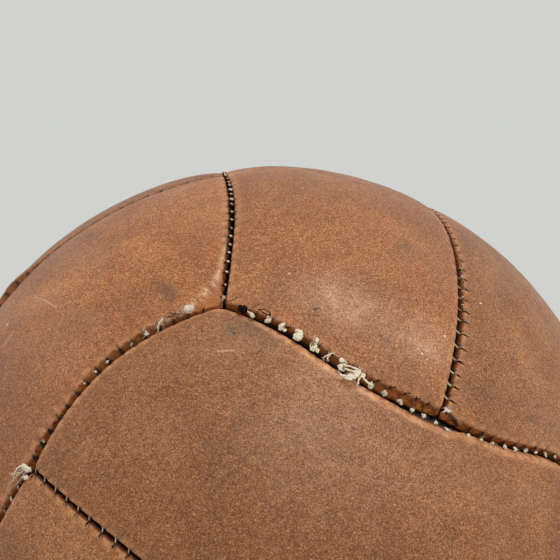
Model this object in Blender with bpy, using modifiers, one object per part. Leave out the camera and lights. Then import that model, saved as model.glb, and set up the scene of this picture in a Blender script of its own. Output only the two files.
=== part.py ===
"""Leather medicine ball, 280 mm across, sewn from twelve panels.

The cover is a cube blown up into a ball. Each of the cube's six faces is two
strips of leather, so there are twelve panels, and the strips of neighbouring
faces run at right angles: every cube edge meets the middle seam of one of the
two faces beside it. That gives thirty seams, eight corners where three panels
meet at 120 degrees and twelve places where a middle seam ends on a long edge.

Each panel is one skin of thick hide whose edges are turned in to make the seam
allowance. A waxed linen thread runs in every seam. Inside there are a canvas
bag in two halves and the packed hair and rag that give the ball its weight.

World frame: metres, +Z up, the front of the ball faces -Y. The ball stands on
its own flattened patch, and the origin is the middle of that patch.
Pattern frame: a, b and c are the axes of the cube that the cover is cut from.
"""

import bpy
import bmesh
import math
from mathutils import Matrix, Vector

MM = 0.001

# ---------------------------------------------------------------- dimensions
RADIUS = 140.0 * MM          # outside of the leather
FLAT_DEPTH = 2.2 * MM        # how much the ball's own weight flattens its underside
PATTERN_ROLL = 54.8          # degrees that the cube pattern is rolled about the Y axis

LEATHER = 3.0 * MM           # thickness of the hide
HALF_GAP = 0.8 * MM          # half of the slot between two turned-in edges
LIP = 2.4 * MM               # how far the rolled edge falls away at a seam
ALLOWANCE = 6.4 * MM         # depth of the turned-in edge below the surface
LONG_CELLS = 10              # cells along and across the open area of a panel
SHORT_CELLS = 5

THREAD_DIAMETER = 1.1 * MM
STITCH_PITCH = 5.4 * MM
THREAD_DEPTH = 0.95 * MM     # of the thread's centre below the surface
THREAD_WEAVE = 0.2 * MM      # how far it swings from side to side
THREAD_END = 5.0 * MM        # distance it stops short of a junction

LINING_OUTER = RADIUS - 7.1 * MM
LINING_THICKNESS = 1.2 * MM
LINING_GAP = 0.6 * MM
FILLING_RADIUS = LINING_OUTER - LINING_THICKNESS - 0.5 * MM

# The cover has crept in use. Junctions have moved by a few millimetres along
# the pattern axes, and seams bow to one side (first number) and swing like an
# S (second number), measured across the seam in millimetres.
JUNCTION_CREEP = {
    (1, 1, 1): (2.0, 1.0, -3.0),
    (0, 1, 1): (-8.0, 3.5, -3.5),
    (1, 1, 0): (1.5, -1.5, -1.0),
    (1, 0, 1): (-1.0, 1.0, 1.0),
    (1, 1, -1): (-9.0, 9.0, 2.0),
    (-1, 1, 0): (0.0, -1.0, 9.0),
    (0, -1, 1): (0.0, 3.0, 3.0),
    (1, 0, -1): (-1.0, 2.0, -1.0),
    (0, -1, -1): (0.0, 5.5, -5.5),
}
SEAM_CREEP = {
    ((1, 1, 1), (0, 1, 1)): (-4.5, 0.0),
    ((1, 1, 1), (1, 0, 1)): (-8.0, 0.0),
    ((1, 1, 1), (1, 1, 0)): (-4.5, 2.0),
    ((1, 1, -1), (1, 1, 0)): (-5.0, -4.0),
    ((1, 1, 0), (-1, 1, 0)): (11.0, -2.5),
    ((0, 1, 1), (0, -1, 1)): (18.0, -3.0),
    ((1, 0, 1), (1, 0, -1)): (5.0, 3.0),
    ((1, -1, -1), (0, -1, -1)): (3.0, 0.0),
    ((-1, -1, -1), (0, -1, -1)): (-3.0, 0.0),
}
BOW_ELSEWHERE = 2.5          # largest bow and swing of the seams not named above
SWING_ELSEWHERE = 1.5

# Each face: its name, its own axis, the axis that its middle seam divides and
# the axis that the middle seam runs along, then the names of its two strips.
FACES = [
    ("front", (1, 0, 0), (0, 1, 0), (0, 0, 1), ("front_upper", "front_lower")),
    ("back", (-1, 0, 0), (0, 1, 0), (0, 0, 1), ("back_upper", "back_lower")),
    ("top", (0, 1, 0), (0, 0, 1), (1, 0, 0), ("top_left", "top_right")),
    ("bottom", (0, -1, 0), (0, 0, 1), (1, 0, 0), ("bottom_left", "bottom_right")),
    ("left", (0, 0, 1), (1, 0, 0), (0, 1, 0), ("left_front", "left_back")),
    ("right", (0, 0, -1), (1, 0, 0), (0, 1, 0), ("right_front", "right_back")),
]

# ------------------------------------------------------------------- scene
for old in list(bpy.data.objects):
    bpy.data.objects.remove(old, do_unlink=True)


def new_collection(name):
    found = bpy.data.collections.get(name) or bpy.data.collections.new(name)
    if name not in bpy.context.scene.collection.children:
        bpy.context.scene.collection.children.link(found)
    return found


BALL = new_collection("medicine_ball")

roll = math.radians(PATTERN_ROLL)
AXIS_A = Vector((0.0, -1.0, 0.0))
AXIS_B = Vector((math.cos(roll), 0.0, math.sin(roll)))
AXIS_C = Vector((-math.sin(roll), 0.0, math.cos(roll)))
PATTERN = Matrix((AXIS_A, AXIS_B, AXIS_C)).transposed()
CENTRE_HEIGHT = RADIUS - FLAT_DEPTH

ball_frame = bpy.data.objects.new("ball_frame", None)
ball_frame.empty_display_size = 0.05
ball_frame.location = (0.0, 0.0, CENTRE_HEIGHT)
ball_frame.rotation_euler = PATTERN.to_euler()
BALL.objects.link(ball_frame)
DOWN = PATTERN.inverted() @ Vector((0.0, 0.0, -1.0))


def material(name, color, roughness, metallic=0.0):
    made = bpy.data.materials.get(name) or bpy.data.materials.new(name)
    made.use_nodes = True
    shader = made.node_tree.nodes["Principled BSDF"]
    shader.inputs["Base Color"].default_value = (*color, 1.0)
    shader.inputs["Roughness"].default_value = roughness
    shader.inputs["Metallic"].default_value = metallic
    return made


CANVAS = material("lining_canvas", (0.50, 0.44, 0.33), 0.9)
HAIR = material("packed_hair", (0.16, 0.11, 0.08), 0.95)


def place(obj, mat):
    obj.data.materials.append(mat)
    BALL.objects.link(obj)
    obj.parent = ball_frame
    return obj


# ------------------------------------------------------------------ seams
def junction(key):
    """Direction of a junction of the cover, in the pattern frame."""
    creep = Vector(JUNCTION_CREEP.get(key, (0.0, 0.0, 0.0))) * MM / RADIUS
    return (Vector(key).normalized() + creep).normalized()


def great_arc(p, q, t):
    angle = p.angle(q)
    return (p * math.sin((1.0 - t) * angle) + q * math.sin(t * angle)) / math.sin(angle)


def seam_creep(ends):
    if ends in SEAM_CREEP:
        return SEAM_CREEP[ends]
    turn = sum((i + 1) * (2 * v + 3) for i, v in enumerate(ends[0] + ends[1]))
    return (
        BOW_ELSEWHERE * math.sin(3.0 * turn),
        SWING_ELSEWHERE * math.sin(5.0 * turn + 2.0),
    )


def seam_point(ends, t):
    """Direction at the share t of the seam between two junctions."""
    p, q = junction(ends[0]), junction(ends[1])
    bow, swing = seam_creep(ends)
    across = p.cross(q).normalized()
    aside = bow * math.sin(math.pi * t) + swing * math.sin(2.0 * math.pi * t)
    return (great_arc(p, q, t) + across * (aside * MM / RADIUS)).normalized()


def key_of(*vectors):
    return tuple(int(sum(v[i] for v in vectors)) for i in range(3))


def scaled(v, s):
    return tuple(s * x for x in v)


class Strip:
    """One panel of the cover: a four-sided patch of the sphere.

    u runs along the strip and v across it, from the face's middle seam at
    v = 0 to the cube's long edge at v = 1.
    """

    def __init__(self, name, face, split, along, side):
        self.name = name
        s = scaled(split, side)
        near, far = scaled(along, -1), along
        self.stem = (key_of(face, far), key_of(face, near))
        self.stem_from_far = True
        self.corner_near = key_of(face, s, near)
        self.corner_far = key_of(face, s, far)
        self.long_middle = key_of(face, s)
        self.t_near = key_of(face, near)
        self.t_far = key_of(face, far)
        self.flip = Vector(face).dot(Vector(along).cross(Vector(s))) < 0.0

    def bottom(self, u):
        return seam_point((self.t_far, self.t_near), 1.0 - u)

    def left(self, v):
        return seam_point((self.corner_near, self.t_near), 1.0 - v)

    def right(self, v):
        return seam_point((self.corner_far, self.t_far), 1.0 - v)

    def top(self, u):
        if u < 0.5:
            return seam_point((self.corner_near, self.long_middle), 2.0 * u)
        return seam_point((self.corner_far, self.long_middle), 2.0 - 2.0 * u)

    def direction(self, u, v):
        ruled = (
            self.bottom(u) * (1.0 - v)
            + self.top(u) * v
            + self.left(v) * (1.0 - u)
            + self.right(v) * u
        )
        corners = (
            self.bottom(0.0) * ((1.0 - u) * (1.0 - v))
            + self.bottom(1.0) * (u * (1.0 - v))
            + self.top(0.0) * ((1.0 - u) * v)
            + self.top(1.0) * (u * v)
        )
        return (ruled - corners).normalized()


STRIPS = []
for face_name, face, split, along, names in FACES:
    for strip_name, side in zip(names, (1, -1)):
        STRIPS.append(Strip(strip_name, face, split, along, side))


# ----------------------------------------------------------------- panels
def border_steps(length, cells):
    """Shares of a length: edge, inner end of the rolled lip, open cells, and back."""
    first = HALF_GAP / length
    second = (HALF_GAP + LIP) / length
    inner = [second + (1.0 - 2.0 * second) * i / cells for i in range(cells + 1)]
    return [first] + inner + [1.0 - first]


def build_panel(strip, mat):
    mesh = bpy.data.meshes.new("panel_" + strip.name)
    bm = bmesh.new()
    rows_u, rows_v = LONG_CELLS + 3, SHORT_CELLS + 3
    grid = []
    for j in range(rows_v):
        row = []
        for i in range(rows_u):
            u_guess = i / (rows_u - 1)
            width = RADIUS * strip.direction(u_guess, 0.0).angle(strip.direction(u_guess, 1.0))
            v = border_steps(width, SHORT_CELLS)[j]
            length = RADIUS * strip.direction(0.0, v).angle(strip.direction(0.5, v))
            length += RADIUS * strip.direction(0.5, v).angle(strip.direction(1.0, v))
            u = border_steps(length, LONG_CELLS)[i]
            edge = i in (0, rows_u - 1) or j in (0, rows_v - 1)
            radius = RADIUS - (LIP if edge else 0.0)
            row.append(bm.verts.new(strip.direction(u, v) * radius))
        grid.append(row)
    for j in range(rows_v - 1):
        for i in range(rows_u - 1):
            quad = (grid[j][i], grid[j][i + 1], grid[j + 1][i + 1], grid[j + 1][i])
            bm.faces.new(quad[::-1] if strip.flip else quad)

    # The edges of the sheet are turned in towards the ball's centre.
    rim = [e for e in bm.edges if e.is_boundary]
    turned = bmesh.ops.extrude_edge_only(bm, edges=rim)
    for vert in (g for g in turned["geom"] if isinstance(g, bmesh.types.BMVert)):
        vert.co = vert.co.normalized() * (RADIUS - ALLOWANCE)

    # What would lie below the floor is cut along the floor and pressed flat.
    low = max(v.co.dot(DOWN) for v in bm.verts)
    if low > CENTRE_HEIGHT:
        bmesh.ops.bisect_plane(
            bm,
            geom=list(bm.verts) + list(bm.edges) + list(bm.faces),
            dist=1e-7,
            plane_co=DOWN * CENTRE_HEIGHT,
            plane_no=DOWN,
        )
        for vert in bm.verts:
            below = vert.co.dot(DOWN) - CENTRE_HEIGHT
            if below > 0.0:
                vert.co -= DOWN * below
    bmesh.ops.recalc_face_normals(bm, faces=list(bm.faces))
    middle = strip.direction(0.5, 0.5)
    outward = max(bm.faces, key=lambda f: f.calc_center_median().dot(middle))
    if outward.normal.dot(middle) < 0.0:
        bmesh.ops.reverse_faces(bm, faces=list(bm.faces))
    bm.to_mesh(mesh)
    bm.free()
    panel = place(bpy.data.objects.new("panel_" + strip.name, mesh), mat)
    hide = panel.modifiers.new("hide_thickness", "SOLIDIFY")
    hide.thickness = LEATHER
    hide.offset = -1.0
    hide.use_even_offset = True
    hide.use_quality_normals = True
    mesh.shade_smooth()
    mesh.set_sharp_from_angle(angle=math.radians(35.0))
    return panel


# The hide was cut from several skins, so neighbouring panels differ a little.
for index, strip in enumerate(STRIPS):
    tone = 0.93 + 0.14 * ((index * 5) % 12) / 11.0
    leather = material(
        "leather_" + strip.name,
        (0.235 * tone, 0.135 * tone, 0.080 * tone),
        0.46 + 0.06 * ((index * 7) % 12) / 11.0,
    )
    build_panel(strip, leather)


# ---------------------------------------------------------------- threads
def seams_between():
    """Every seam's two junctions with the names of the two panels beside it."""
    beside = {}
    for strip in STRIPS:
        for ends in (
            (strip.t_far, strip.t_near),
            (strip.corner_near, strip.t_near),
            (strip.corner_far, strip.t_far),
            (strip.corner_near, strip.long_middle),
            (strip.corner_far, strip.long_middle),
        ):
            beside.setdefault(ends, []).append(strip.name)
    return beside


def build_thread(ends, names):
    fine = 60
    points = [seam_point(ends, k / fine) for k in range(fine + 1)]
    reach = [0.0]
    for k in range(fine):
        reach.append(reach[-1] + RADIUS * points[k].angle(points[k + 1]))
    length = reach[-1]
    run = length - 2.0 * THREAD_END
    stitches = max(4, round(run / STITCH_PITCH))
    name = "thread_" + names[0] + "_to_" + names[1]
    curve = bpy.data.curves.new(name, "CURVE")
    curve.dimensions = "3D"
    curve.bevel_depth = THREAD_DIAMETER / 2.0
    curve.bevel_resolution = 1
    curve.use_fill_caps = True
    spline = curve.splines.new("POLY")
    spline.points.add(stitches)
    for k in range(stitches + 1):
        along = THREAD_END + run * k / stitches
        here = next(i for i in range(fine) if reach[i + 1] >= along or i == fine - 1)
        share = (here + (along - reach[here]) / (reach[here + 1] - reach[here])) / fine
        p = seam_point(ends, share)
        ahead = seam_point(ends, min(1.0, share + 0.01)) - seam_point(ends, max(0.0, share - 0.01))
        across = p.cross(ahead).normalized()
        p = p * (RADIUS - THREAD_DEPTH) + across * (THREAD_WEAVE * (-1.0) ** k)
        spline.points[k].co = (*p, 1.0)
    linen = material("linen_" + name[7:], (0.62, 0.55, 0.42), 0.85)
    return place(bpy.data.objects.new(name, curve), linen)


for ends, names in seams_between().items():
    build_thread(ends, names)


# ------------------------------------------------------- lining and filling
def lining_half(name, side):
    """Half of the canvas bag, open at the ball's equator."""
    mesh = bpy.data.meshes.new(name)
    bm = bmesh.new()
    bmesh.ops.create_uvsphere(bm, u_segments=24, v_segments=16, radius=LINING_OUTER)
    away = [v for v in bm.verts if v.co.z * side < -1e-5]
    bmesh.ops.delete(bm, geom=away, context="VERTS")
    for vert in bm.verts:
        if abs(vert.co.z) < 1e-5:
            vert.co.z = side * LINING_GAP / 2.0
    bm.to_mesh(mesh)
    bm.free()
    half = place(bpy.data.objects.new(name, mesh), CANVAS)
    cloth = half.modifiers.new("canvas_thickness", "SOLIDIFY")
    cloth.thickness = LINING_THICKNESS
    cloth.offset = -1.0
    cloth.use_even_offset = True
    cloth.use_quality_normals = True
    mesh.shade_smooth()
    return half


lining_half("lining_left_half", 1)
lining_half("lining_right_half", -1)

mesh = bpy.data.meshes.new("filling")
bm = bmesh.new()
bmesh.ops.create_uvsphere(bm, u_segments=24, v_segments=16, radius=FILLING_RADIUS)
bm.to_mesh(mesh)
bm.free()
place(bpy.data.objects.new("filling", mesh), HAIR)
mesh.shade_smooth()
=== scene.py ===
"""The looks of a worn leather medicine ball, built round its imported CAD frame.

Every panel of the cover is its own crowned sheet with rolled lips and turned-in
walls, every seam has its own stitches, knots and frayed fibres, and the hide is
a procedural material. Lengths in this file are millimetres from the ball's
centre unless they say otherwise; meshes are written in metres in the CAD frame.
"""

import bpy
import math
import numpy as np
from mathutils import Matrix, Vector


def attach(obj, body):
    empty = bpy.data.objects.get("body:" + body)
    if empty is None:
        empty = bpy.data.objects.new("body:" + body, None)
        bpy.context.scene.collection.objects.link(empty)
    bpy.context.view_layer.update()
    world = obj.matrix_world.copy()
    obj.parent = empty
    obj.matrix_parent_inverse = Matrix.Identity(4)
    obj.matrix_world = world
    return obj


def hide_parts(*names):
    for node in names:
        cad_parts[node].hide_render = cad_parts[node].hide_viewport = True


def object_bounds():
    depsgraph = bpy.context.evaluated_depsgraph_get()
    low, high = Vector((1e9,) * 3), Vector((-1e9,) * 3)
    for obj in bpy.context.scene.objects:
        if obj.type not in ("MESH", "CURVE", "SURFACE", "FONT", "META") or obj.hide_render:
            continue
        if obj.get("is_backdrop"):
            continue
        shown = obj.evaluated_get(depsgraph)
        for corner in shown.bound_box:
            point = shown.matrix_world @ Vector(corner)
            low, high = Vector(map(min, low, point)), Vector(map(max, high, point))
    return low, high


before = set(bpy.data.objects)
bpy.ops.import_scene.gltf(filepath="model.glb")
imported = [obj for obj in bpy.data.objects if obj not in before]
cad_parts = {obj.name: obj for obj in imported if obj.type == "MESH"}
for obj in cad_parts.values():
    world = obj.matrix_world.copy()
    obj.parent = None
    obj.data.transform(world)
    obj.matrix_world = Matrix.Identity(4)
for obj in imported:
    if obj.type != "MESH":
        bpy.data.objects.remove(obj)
cad_low, cad_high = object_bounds()
CAD_BOX = [list(map(float, cad_low)), list(map(float, cad_high))]

MM = 0.001
# ------------------------------------------------------------ the ball's pattern
RADIUS = 140.0            # mm, outside of the leather
FLAT_DEPTH = 2.2          # mm that the ball's weight presses flat
PATTERN_ROLL = math.radians(54.8)

# How the worn cover has crept, in mm: junctions along the pattern axes, seams
# sideways as (bow, swing). The same figures shape the CAD panels.
JUNCTION_CREEP = {
    (1, 1, 1): (2.0, 1.0, -3.0),
    (0, 1, 1): (-8.0, 3.5, -3.5),
    (1, 1, 0): (1.5, -1.5, -1.0),
    (1, 0, 1): (-1.0, 1.0, 1.0),
    (1, 1, -1): (-9.0, 9.0, 2.0),
    (-1, 1, 0): (0.0, -1.0, 9.0),
    (0, -1, 1): (0.0, 3.0, 3.0),
    (1, 0, -1): (-1.0, 2.0, -1.0),
    (0, -1, -1): (0.0, 5.5, -5.5),
}
SEAM_CREEP = {
    ((1, 1, 1), (0, 1, 1)): (-4.5, 0.0),
    ((1, 1, 1), (1, 0, 1)): (-8.0, 0.0),
    ((1, 1, 1), (1, 1, 0)): (-4.5, 2.0),
    ((1, 1, -1), (1, 1, 0)): (-5.0, -4.0),
    ((1, 1, 0), (-1, 1, 0)): (11.0, -2.5),
    ((0, 1, 1), (0, -1, 1)): (18.0, -3.0),
    ((1, 0, 1), (1, 0, -1)): (5.0, 3.0),
    ((1, -1, -1), (0, -1, -1)): (3.0, 0.0),
    ((-1, -1, -1), (0, -1, -1)): (-3.0, 0.0),
}

FACES = [
    ((1, 0, 0), (0, 1, 0), (0, 0, 1), ("front_upper", "front_lower")),
    ((-1, 0, 0), (0, 1, 0), (0, 0, 1), ("back_upper", "back_lower")),
    ((0, 1, 0), (0, 0, 1), (1, 0, 0), ("top_left", "top_right")),
    ((0, -1, 0), (0, 0, 1), (1, 0, 0), ("bottom_left", "bottom_right")),
    ((0, 0, 1), (1, 0, 0), (0, 1, 0), ("left_front", "left_back")),
    ((0, 0, -1), (1, 0, 0), (0, 1, 0), ("right_front", "right_back")),
]

AXES = np.array([
    (0.0, -1.0, 0.0),
    (math.cos(PATTERN_ROLL), 0.0, math.sin(PATTERN_ROLL)),
    (-math.sin(PATTERN_ROLL), 0.0, math.cos(PATTERN_ROLL)),
])                         # rows: where pattern a, b and c point in the world


def unit(v):
    v = np.asarray(v, float)
    return v / np.linalg.norm(v, axis=-1, keepdims=True)


def angle_mm(p, q):
    """Distance over the ball between directions, in mm."""
    return RADIUS * 2.0 * np.arcsin(np.clip(np.linalg.norm(p - q, axis=-1) / 2.0, 0.0, 1.0))


# ------------------------------------------------------------ noise
def _lattice(ix, iy, iz, seed):
    n = (ix * 73856093) ^ (iy * 19349663) ^ (iz * 83492791) ^ (seed * 40503161)
    n = n & 0xFFFFFFFF
    n = ((n ^ (n >> 13)) * 1274126177) & 0xFFFFFFFF
    n = ((n ^ (n >> 15)) * 668265263) & 0xFFFFFFFF
    n = n ^ (n >> 16)
    return (n & 0xFFFFFF) / float(0xFFFFFF) * 2.0 - 1.0


def noise(points, seed=0):
    """Smooth value noise from -1 to 1 at 3-D points, one unit per cell."""
    p = np.asarray(points, float)
    base = np.floor(p)
    f = p - base
    f = f * f * f * (f * (f * 6.0 - 15.0) + 10.0)
    i = base.astype(np.int64)
    total = 0.0
    for dx in (0, 1):
        wx = f[..., 0] if dx else 1.0 - f[..., 0]
        for dy in (0, 1):
            wy = f[..., 1] if dy else 1.0 - f[..., 1]
            for dz in (0, 1):
                wz = f[..., 2] if dz else 1.0 - f[..., 2]
                total = total + wx * wy * wz * _lattice(
                    i[..., 0] + dx, i[..., 1] + dy, i[..., 2] + dz, seed)
    return total


def fbm(points, seed=0, octaves=3):
    p = np.asarray(points, float)
    total, weight, norm = 0.0, 1.0, 0.0
    for k in range(octaves):
        total = total + weight * noise(p * 2.03 ** k + 11.3 * k, seed + 17 * k)
        norm += weight
        weight *= 0.5
    return total / norm


def noise1(s, seed=0):
    s = np.asarray(s, float)
    return noise(np.stack([s, np.full_like(s, 0.37 + seed * 1.7), np.full_like(s, 0.61)], axis=-1), seed)


# ------------------------------------------------------------ seams
def junction(key):
    creep = np.array(JUNCTION_CREEP.get(key, (0.0, 0.0, 0.0))) / RADIUS
    return unit(unit(key) + creep)


def seam_creep(ends):
    if ends in SEAM_CREEP:
        return SEAM_CREEP[ends]
    turn = sum((i + 1) * (2 * v + 3) for i, v in enumerate(ends[0] + ends[1]))
    return 2.5 * math.sin(3.0 * turn), 1.5 * math.sin(5.0 * turn + 2.0)


def seam_points(ends, t):
    p, q = junction(ends[0]), junction(ends[1])
    t = np.asarray(t, float)[:, None]
    turn = math.acos(float(np.clip(p @ q, -1, 1)))
    arc = (p * np.sin((1 - t) * turn) + q * np.sin(t * turn)) / math.sin(turn)
    bow, swing = seam_creep(ends)
    aside = bow * np.sin(math.pi * t) + swing * np.sin(2 * math.pi * t)
    return unit(arc + unit(np.cross(p, q)) * aside / RADIUS)


class Line:
    """A seam as a fine polyline on the unit sphere, with its length in mm."""

    def __init__(self, points):
        self.p = points
        self.t = np.linspace(0.0, 1.0, len(points))
        self.s = np.concatenate([[0.0], np.cumsum(angle_mm(points[1:], points[:-1]))])

    def at(self, t):
        t = np.clip(np.asarray(t, float), 0.0, 1.0)
        return unit(np.stack([np.interp(t, self.t, self.p[:, k]) for k in range(3)], axis=-1))

    def length_at(self, t):
        return np.interp(np.asarray(t, float), self.t, self.s)

    def t_at(self, s):
        return np.interp(np.asarray(s, float), self.s, self.t)

    def frame(self, s):
        """Direction, tangent and the vector to the left of the way along, at lengths s."""
        t = self.t_at(s)
        p = self.at(t)
        ahead = unit(self.at(np.minimum(1, t + 0.004)) - self.at(np.maximum(0, t - 0.004)))
        return p, ahead, np.cross(p, ahead)


SAMPLES = 481
EDGES = {}                 # middle junction -> the whole cube edge, smoothed through it
for zero in range(3):
    for s1 in (1, -1):
        for s2 in (1, -1):
            mid = [s1, s2]
            mid.insert(zero, 0)
            low, high = list(mid), list(mid)
            low[zero], high[zero] = -1, 1
            mid, low, high = tuple(mid), tuple(low), tuple(high)
            t = np.linspace(0, 1, SAMPLES)
            first = seam_points((low, mid), 2 * t[t <= 0.5])
            second = seam_points((high, mid), 2 - 2 * t[t > 0.5])
            line = np.concatenate([first, second])
            # the leather runs straight past the end of a middle seam, without a corner
            kernel = np.exp(-(np.arange(-30, 31) / 13.0) ** 2)
            kernel /= kernel.sum()
            padded = np.pad(line, ((30, 30), (0, 0)), mode="edge")
            smooth = np.stack([np.convolve(padded[:, k], kernel, mode="valid") for k in range(3)], axis=-1)
            share = np.exp(-((t - 0.5) / 0.09) ** 2)[:, None]
            EDGES[mid] = (Line(unit(line + share * (smooth - line))), low, high)


def mid_of(key):
    return EDGES[key][0].at(np.array([0.5]))[0]


STEMS = {}
for face, split, along, names in FACES:
    far = tuple(f + a for f, a in zip(face, along))
    near = tuple(f - a for f, a in zip(face, along))
    t = np.linspace(0, 1, SAMPLES)
    line = seam_points((far, near), t)
    line = line + (1 - t)[:, None] * (mid_of(far) - junction(far)) + t[:, None] * (mid_of(near) - junction(near))
    STEMS[face] = Line(unit(line))

CENTRE = np.array([0.0, 0.0, RADIUS - FLAT_DEPTH])


def to_world(directions, height):
    """Pattern directions and heights above the sphere (mm) to metres in the CAD frame."""
    p = (directions @ AXES) * (RADIUS + height)[..., None] + CENTRE
    # the underside is pressed flat where the ball stands, with a soft turn at its rim
    z = p[..., 2]
    p[..., 2] = np.where(z < 4.0, 0.5 * (z + np.sqrt(z * z + 0.35)), z)
    return p * MM


def smoothstep(a, b, x):
    t = np.clip((x - a) / (b - a), 0.0, 1.0)
    return t * t * (3.0 - 2.0 * t)


def bell(x, centre, width):
    return np.exp(-((x - centre) / width) ** 2)


def table(*pairs):
    """A smooth curve through (length along the seam, value) pairs."""
    xs = np.array([p[0] for p in pairs], float)
    ys = np.array([p[1] for p in pairs], float)

    def read(s):
        s = np.asarray(s, float)
        total, weight = 0.0, 0.0
        for shift in (-5.0, -2.5, 0.0, 2.5, 5.0):
            k = math.exp(-(shift / 3.5) ** 2)
            total = total + k * np.interp(s + shift, xs, ys)
            weight += k
        return total / weight
    return read


def cushion(world, soft):
    """Height of the hide over the sphere: low along its seams, with soft lumps."""
    lumps = 0.42 * fbm(world * RADIUS / 46.0, 3, 2) + 0.16 * fbm(world * RADIUS / 14.0, 21, 3)
    lumps = lumps + 0.03 * fbm(world * RADIUS / 2.6, 33, 2)
    return lumps - 0.12 - 1.15 * np.exp(-soft / 7.0) - 0.25 * np.exp(-soft / 22.0)


# ------------------------------------------------------------ stitches and lips
E_FRONT_TOP, E_TOP_LEFT, E_FRONT_LEFT = (1, 1, 0), (0, 1, 1), (1, 0, 1)
S_TOP, S_LEFT, S_FRONT = (0, 1, 0), (0, 0, 1), (1, 0, 0)


def spaced(first, last, pitch, seed):
    n = max(2, int(round((last - first) / pitch)))
    s = np.linspace(first, last, n + 1)
    return s + 0.45 * noise1(np.arange(n + 1) * 1.37, seed)


STITCHES = {}
for index, (key, (line, low, high)) in enumerate(EDGES.items()):
    middle = float(line.length_at(0.5))
    STITCHES[key] = np.concatenate([
        spaced(4.0, middle - 3.0, 5.4, 40 + index), spaced(middle + 3.0, line.s[-1] - 4.0, 5.4, 60 + index)])
for index, (key, line) in enumerate(STEMS.items()):
    STITCHES[key] = spaced(3.5, line.s[-1] - 3.5, 5.7, 80 + index)
# the seams in front, where single stitches can be told apart
STITCHES[E_FRONT_TOP] = np.array([
    3.8, 9.2, 14.4, 19.7, 24.9, 30.2, 35.0, 40.8, 46.3, 51.4, 56.2, 61.3, 66.7, 71.3, 76.2, 80.4, 84.0, 89.4,
    94.1, 98.4, 103.1, 108.7, 113.9, 119.6, 125.4, 131.0, 136.3, 142.7, 148.7, 153.6, 159.9, 165.2])
STITCHES[E_TOP_LEFT] = np.array([
    4.1, 9.6, 14.8, 20.2, 25.3, 30.9, 36.1, 41.5, 46.7, 52.2, 57.3, 62.8, 68.0, 73.5, 79.0, 89.5, 95.2, 100.6,
    105.9, 110.5, 115.4, 120.7, 126.3, 131.6, 136.9, 142.2, 146.7, 151.3, 156.2, 161.6, 167.3, 172.4])
STITCHES[S_TOP] = np.concatenate([
    [6.5, 11.7, 16.8, 22.4, 28.0, 34.5, 40.1, 45.2, 51.3, 57.2, 62.8], spaced(68.6, 219.0, 5.7, 91)])
STITCHES[E_FRONT_LEFT] = np.concatenate([
    spaced(4.0, 84.0, 5.3, 92), spaced(90.5, 116.8, 5.25, 93),
    [121.6, 127.0, 132.0, 137.4, 142.5, 147.6, 153.0, 158.2, 163.4, 168.6]])
STITCHES[S_FRONT] = np.concatenate([[2.2, 7.5, 13.6], spaced(19.4, 219.0, 5.8, 94)])


def line_of(key):
    return EDGES[key][0] if key in EDGES else STEMS[key]


class Lip:
    """How one side of a seam is turned in: distance of its edge from the seam's
    line, radius of the roll, distance of the wall at depth, and pucker depth."""

    def __init__(self, edge=None, roll=1.5, deep=0.45, pucker=0.45, reach=3.2, pull=0.35, fall=1.25, lean=0.0,
                 tick=1.0, glow=0.35, spread=1.6, dark=(2.3, 3.8), lit=0.0, deeper=0.0, least=0.55):
        self.edge, self.roll, self.fall, self.lean = edge, roll, fall, lean
        self.pucker, self.reach, self.pull = pucker, reach, pull
        along = lambda v: v if callable(v) else (lambda s: np.full(np.shape(s), float(v)))
        self.tick, self.glow, self.deeper, self.deep = along(tick), along(glow), along(deeper), along(deep)
        self.least = least                                 # the edge never comes nearer to the line than this
        self.spread = spread                               # how far the painted light of the rolled lip reaches on to the open hide
        self.dark = dark                                   # depths between which the wall is painted black: painted shade deep in the slot
        # how strongly the wall is painted as lit: painted light
        self.lit = lit if callable(lit) else (lambda s, lit=lit: np.full(np.shape(s), float(lit)))


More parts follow.
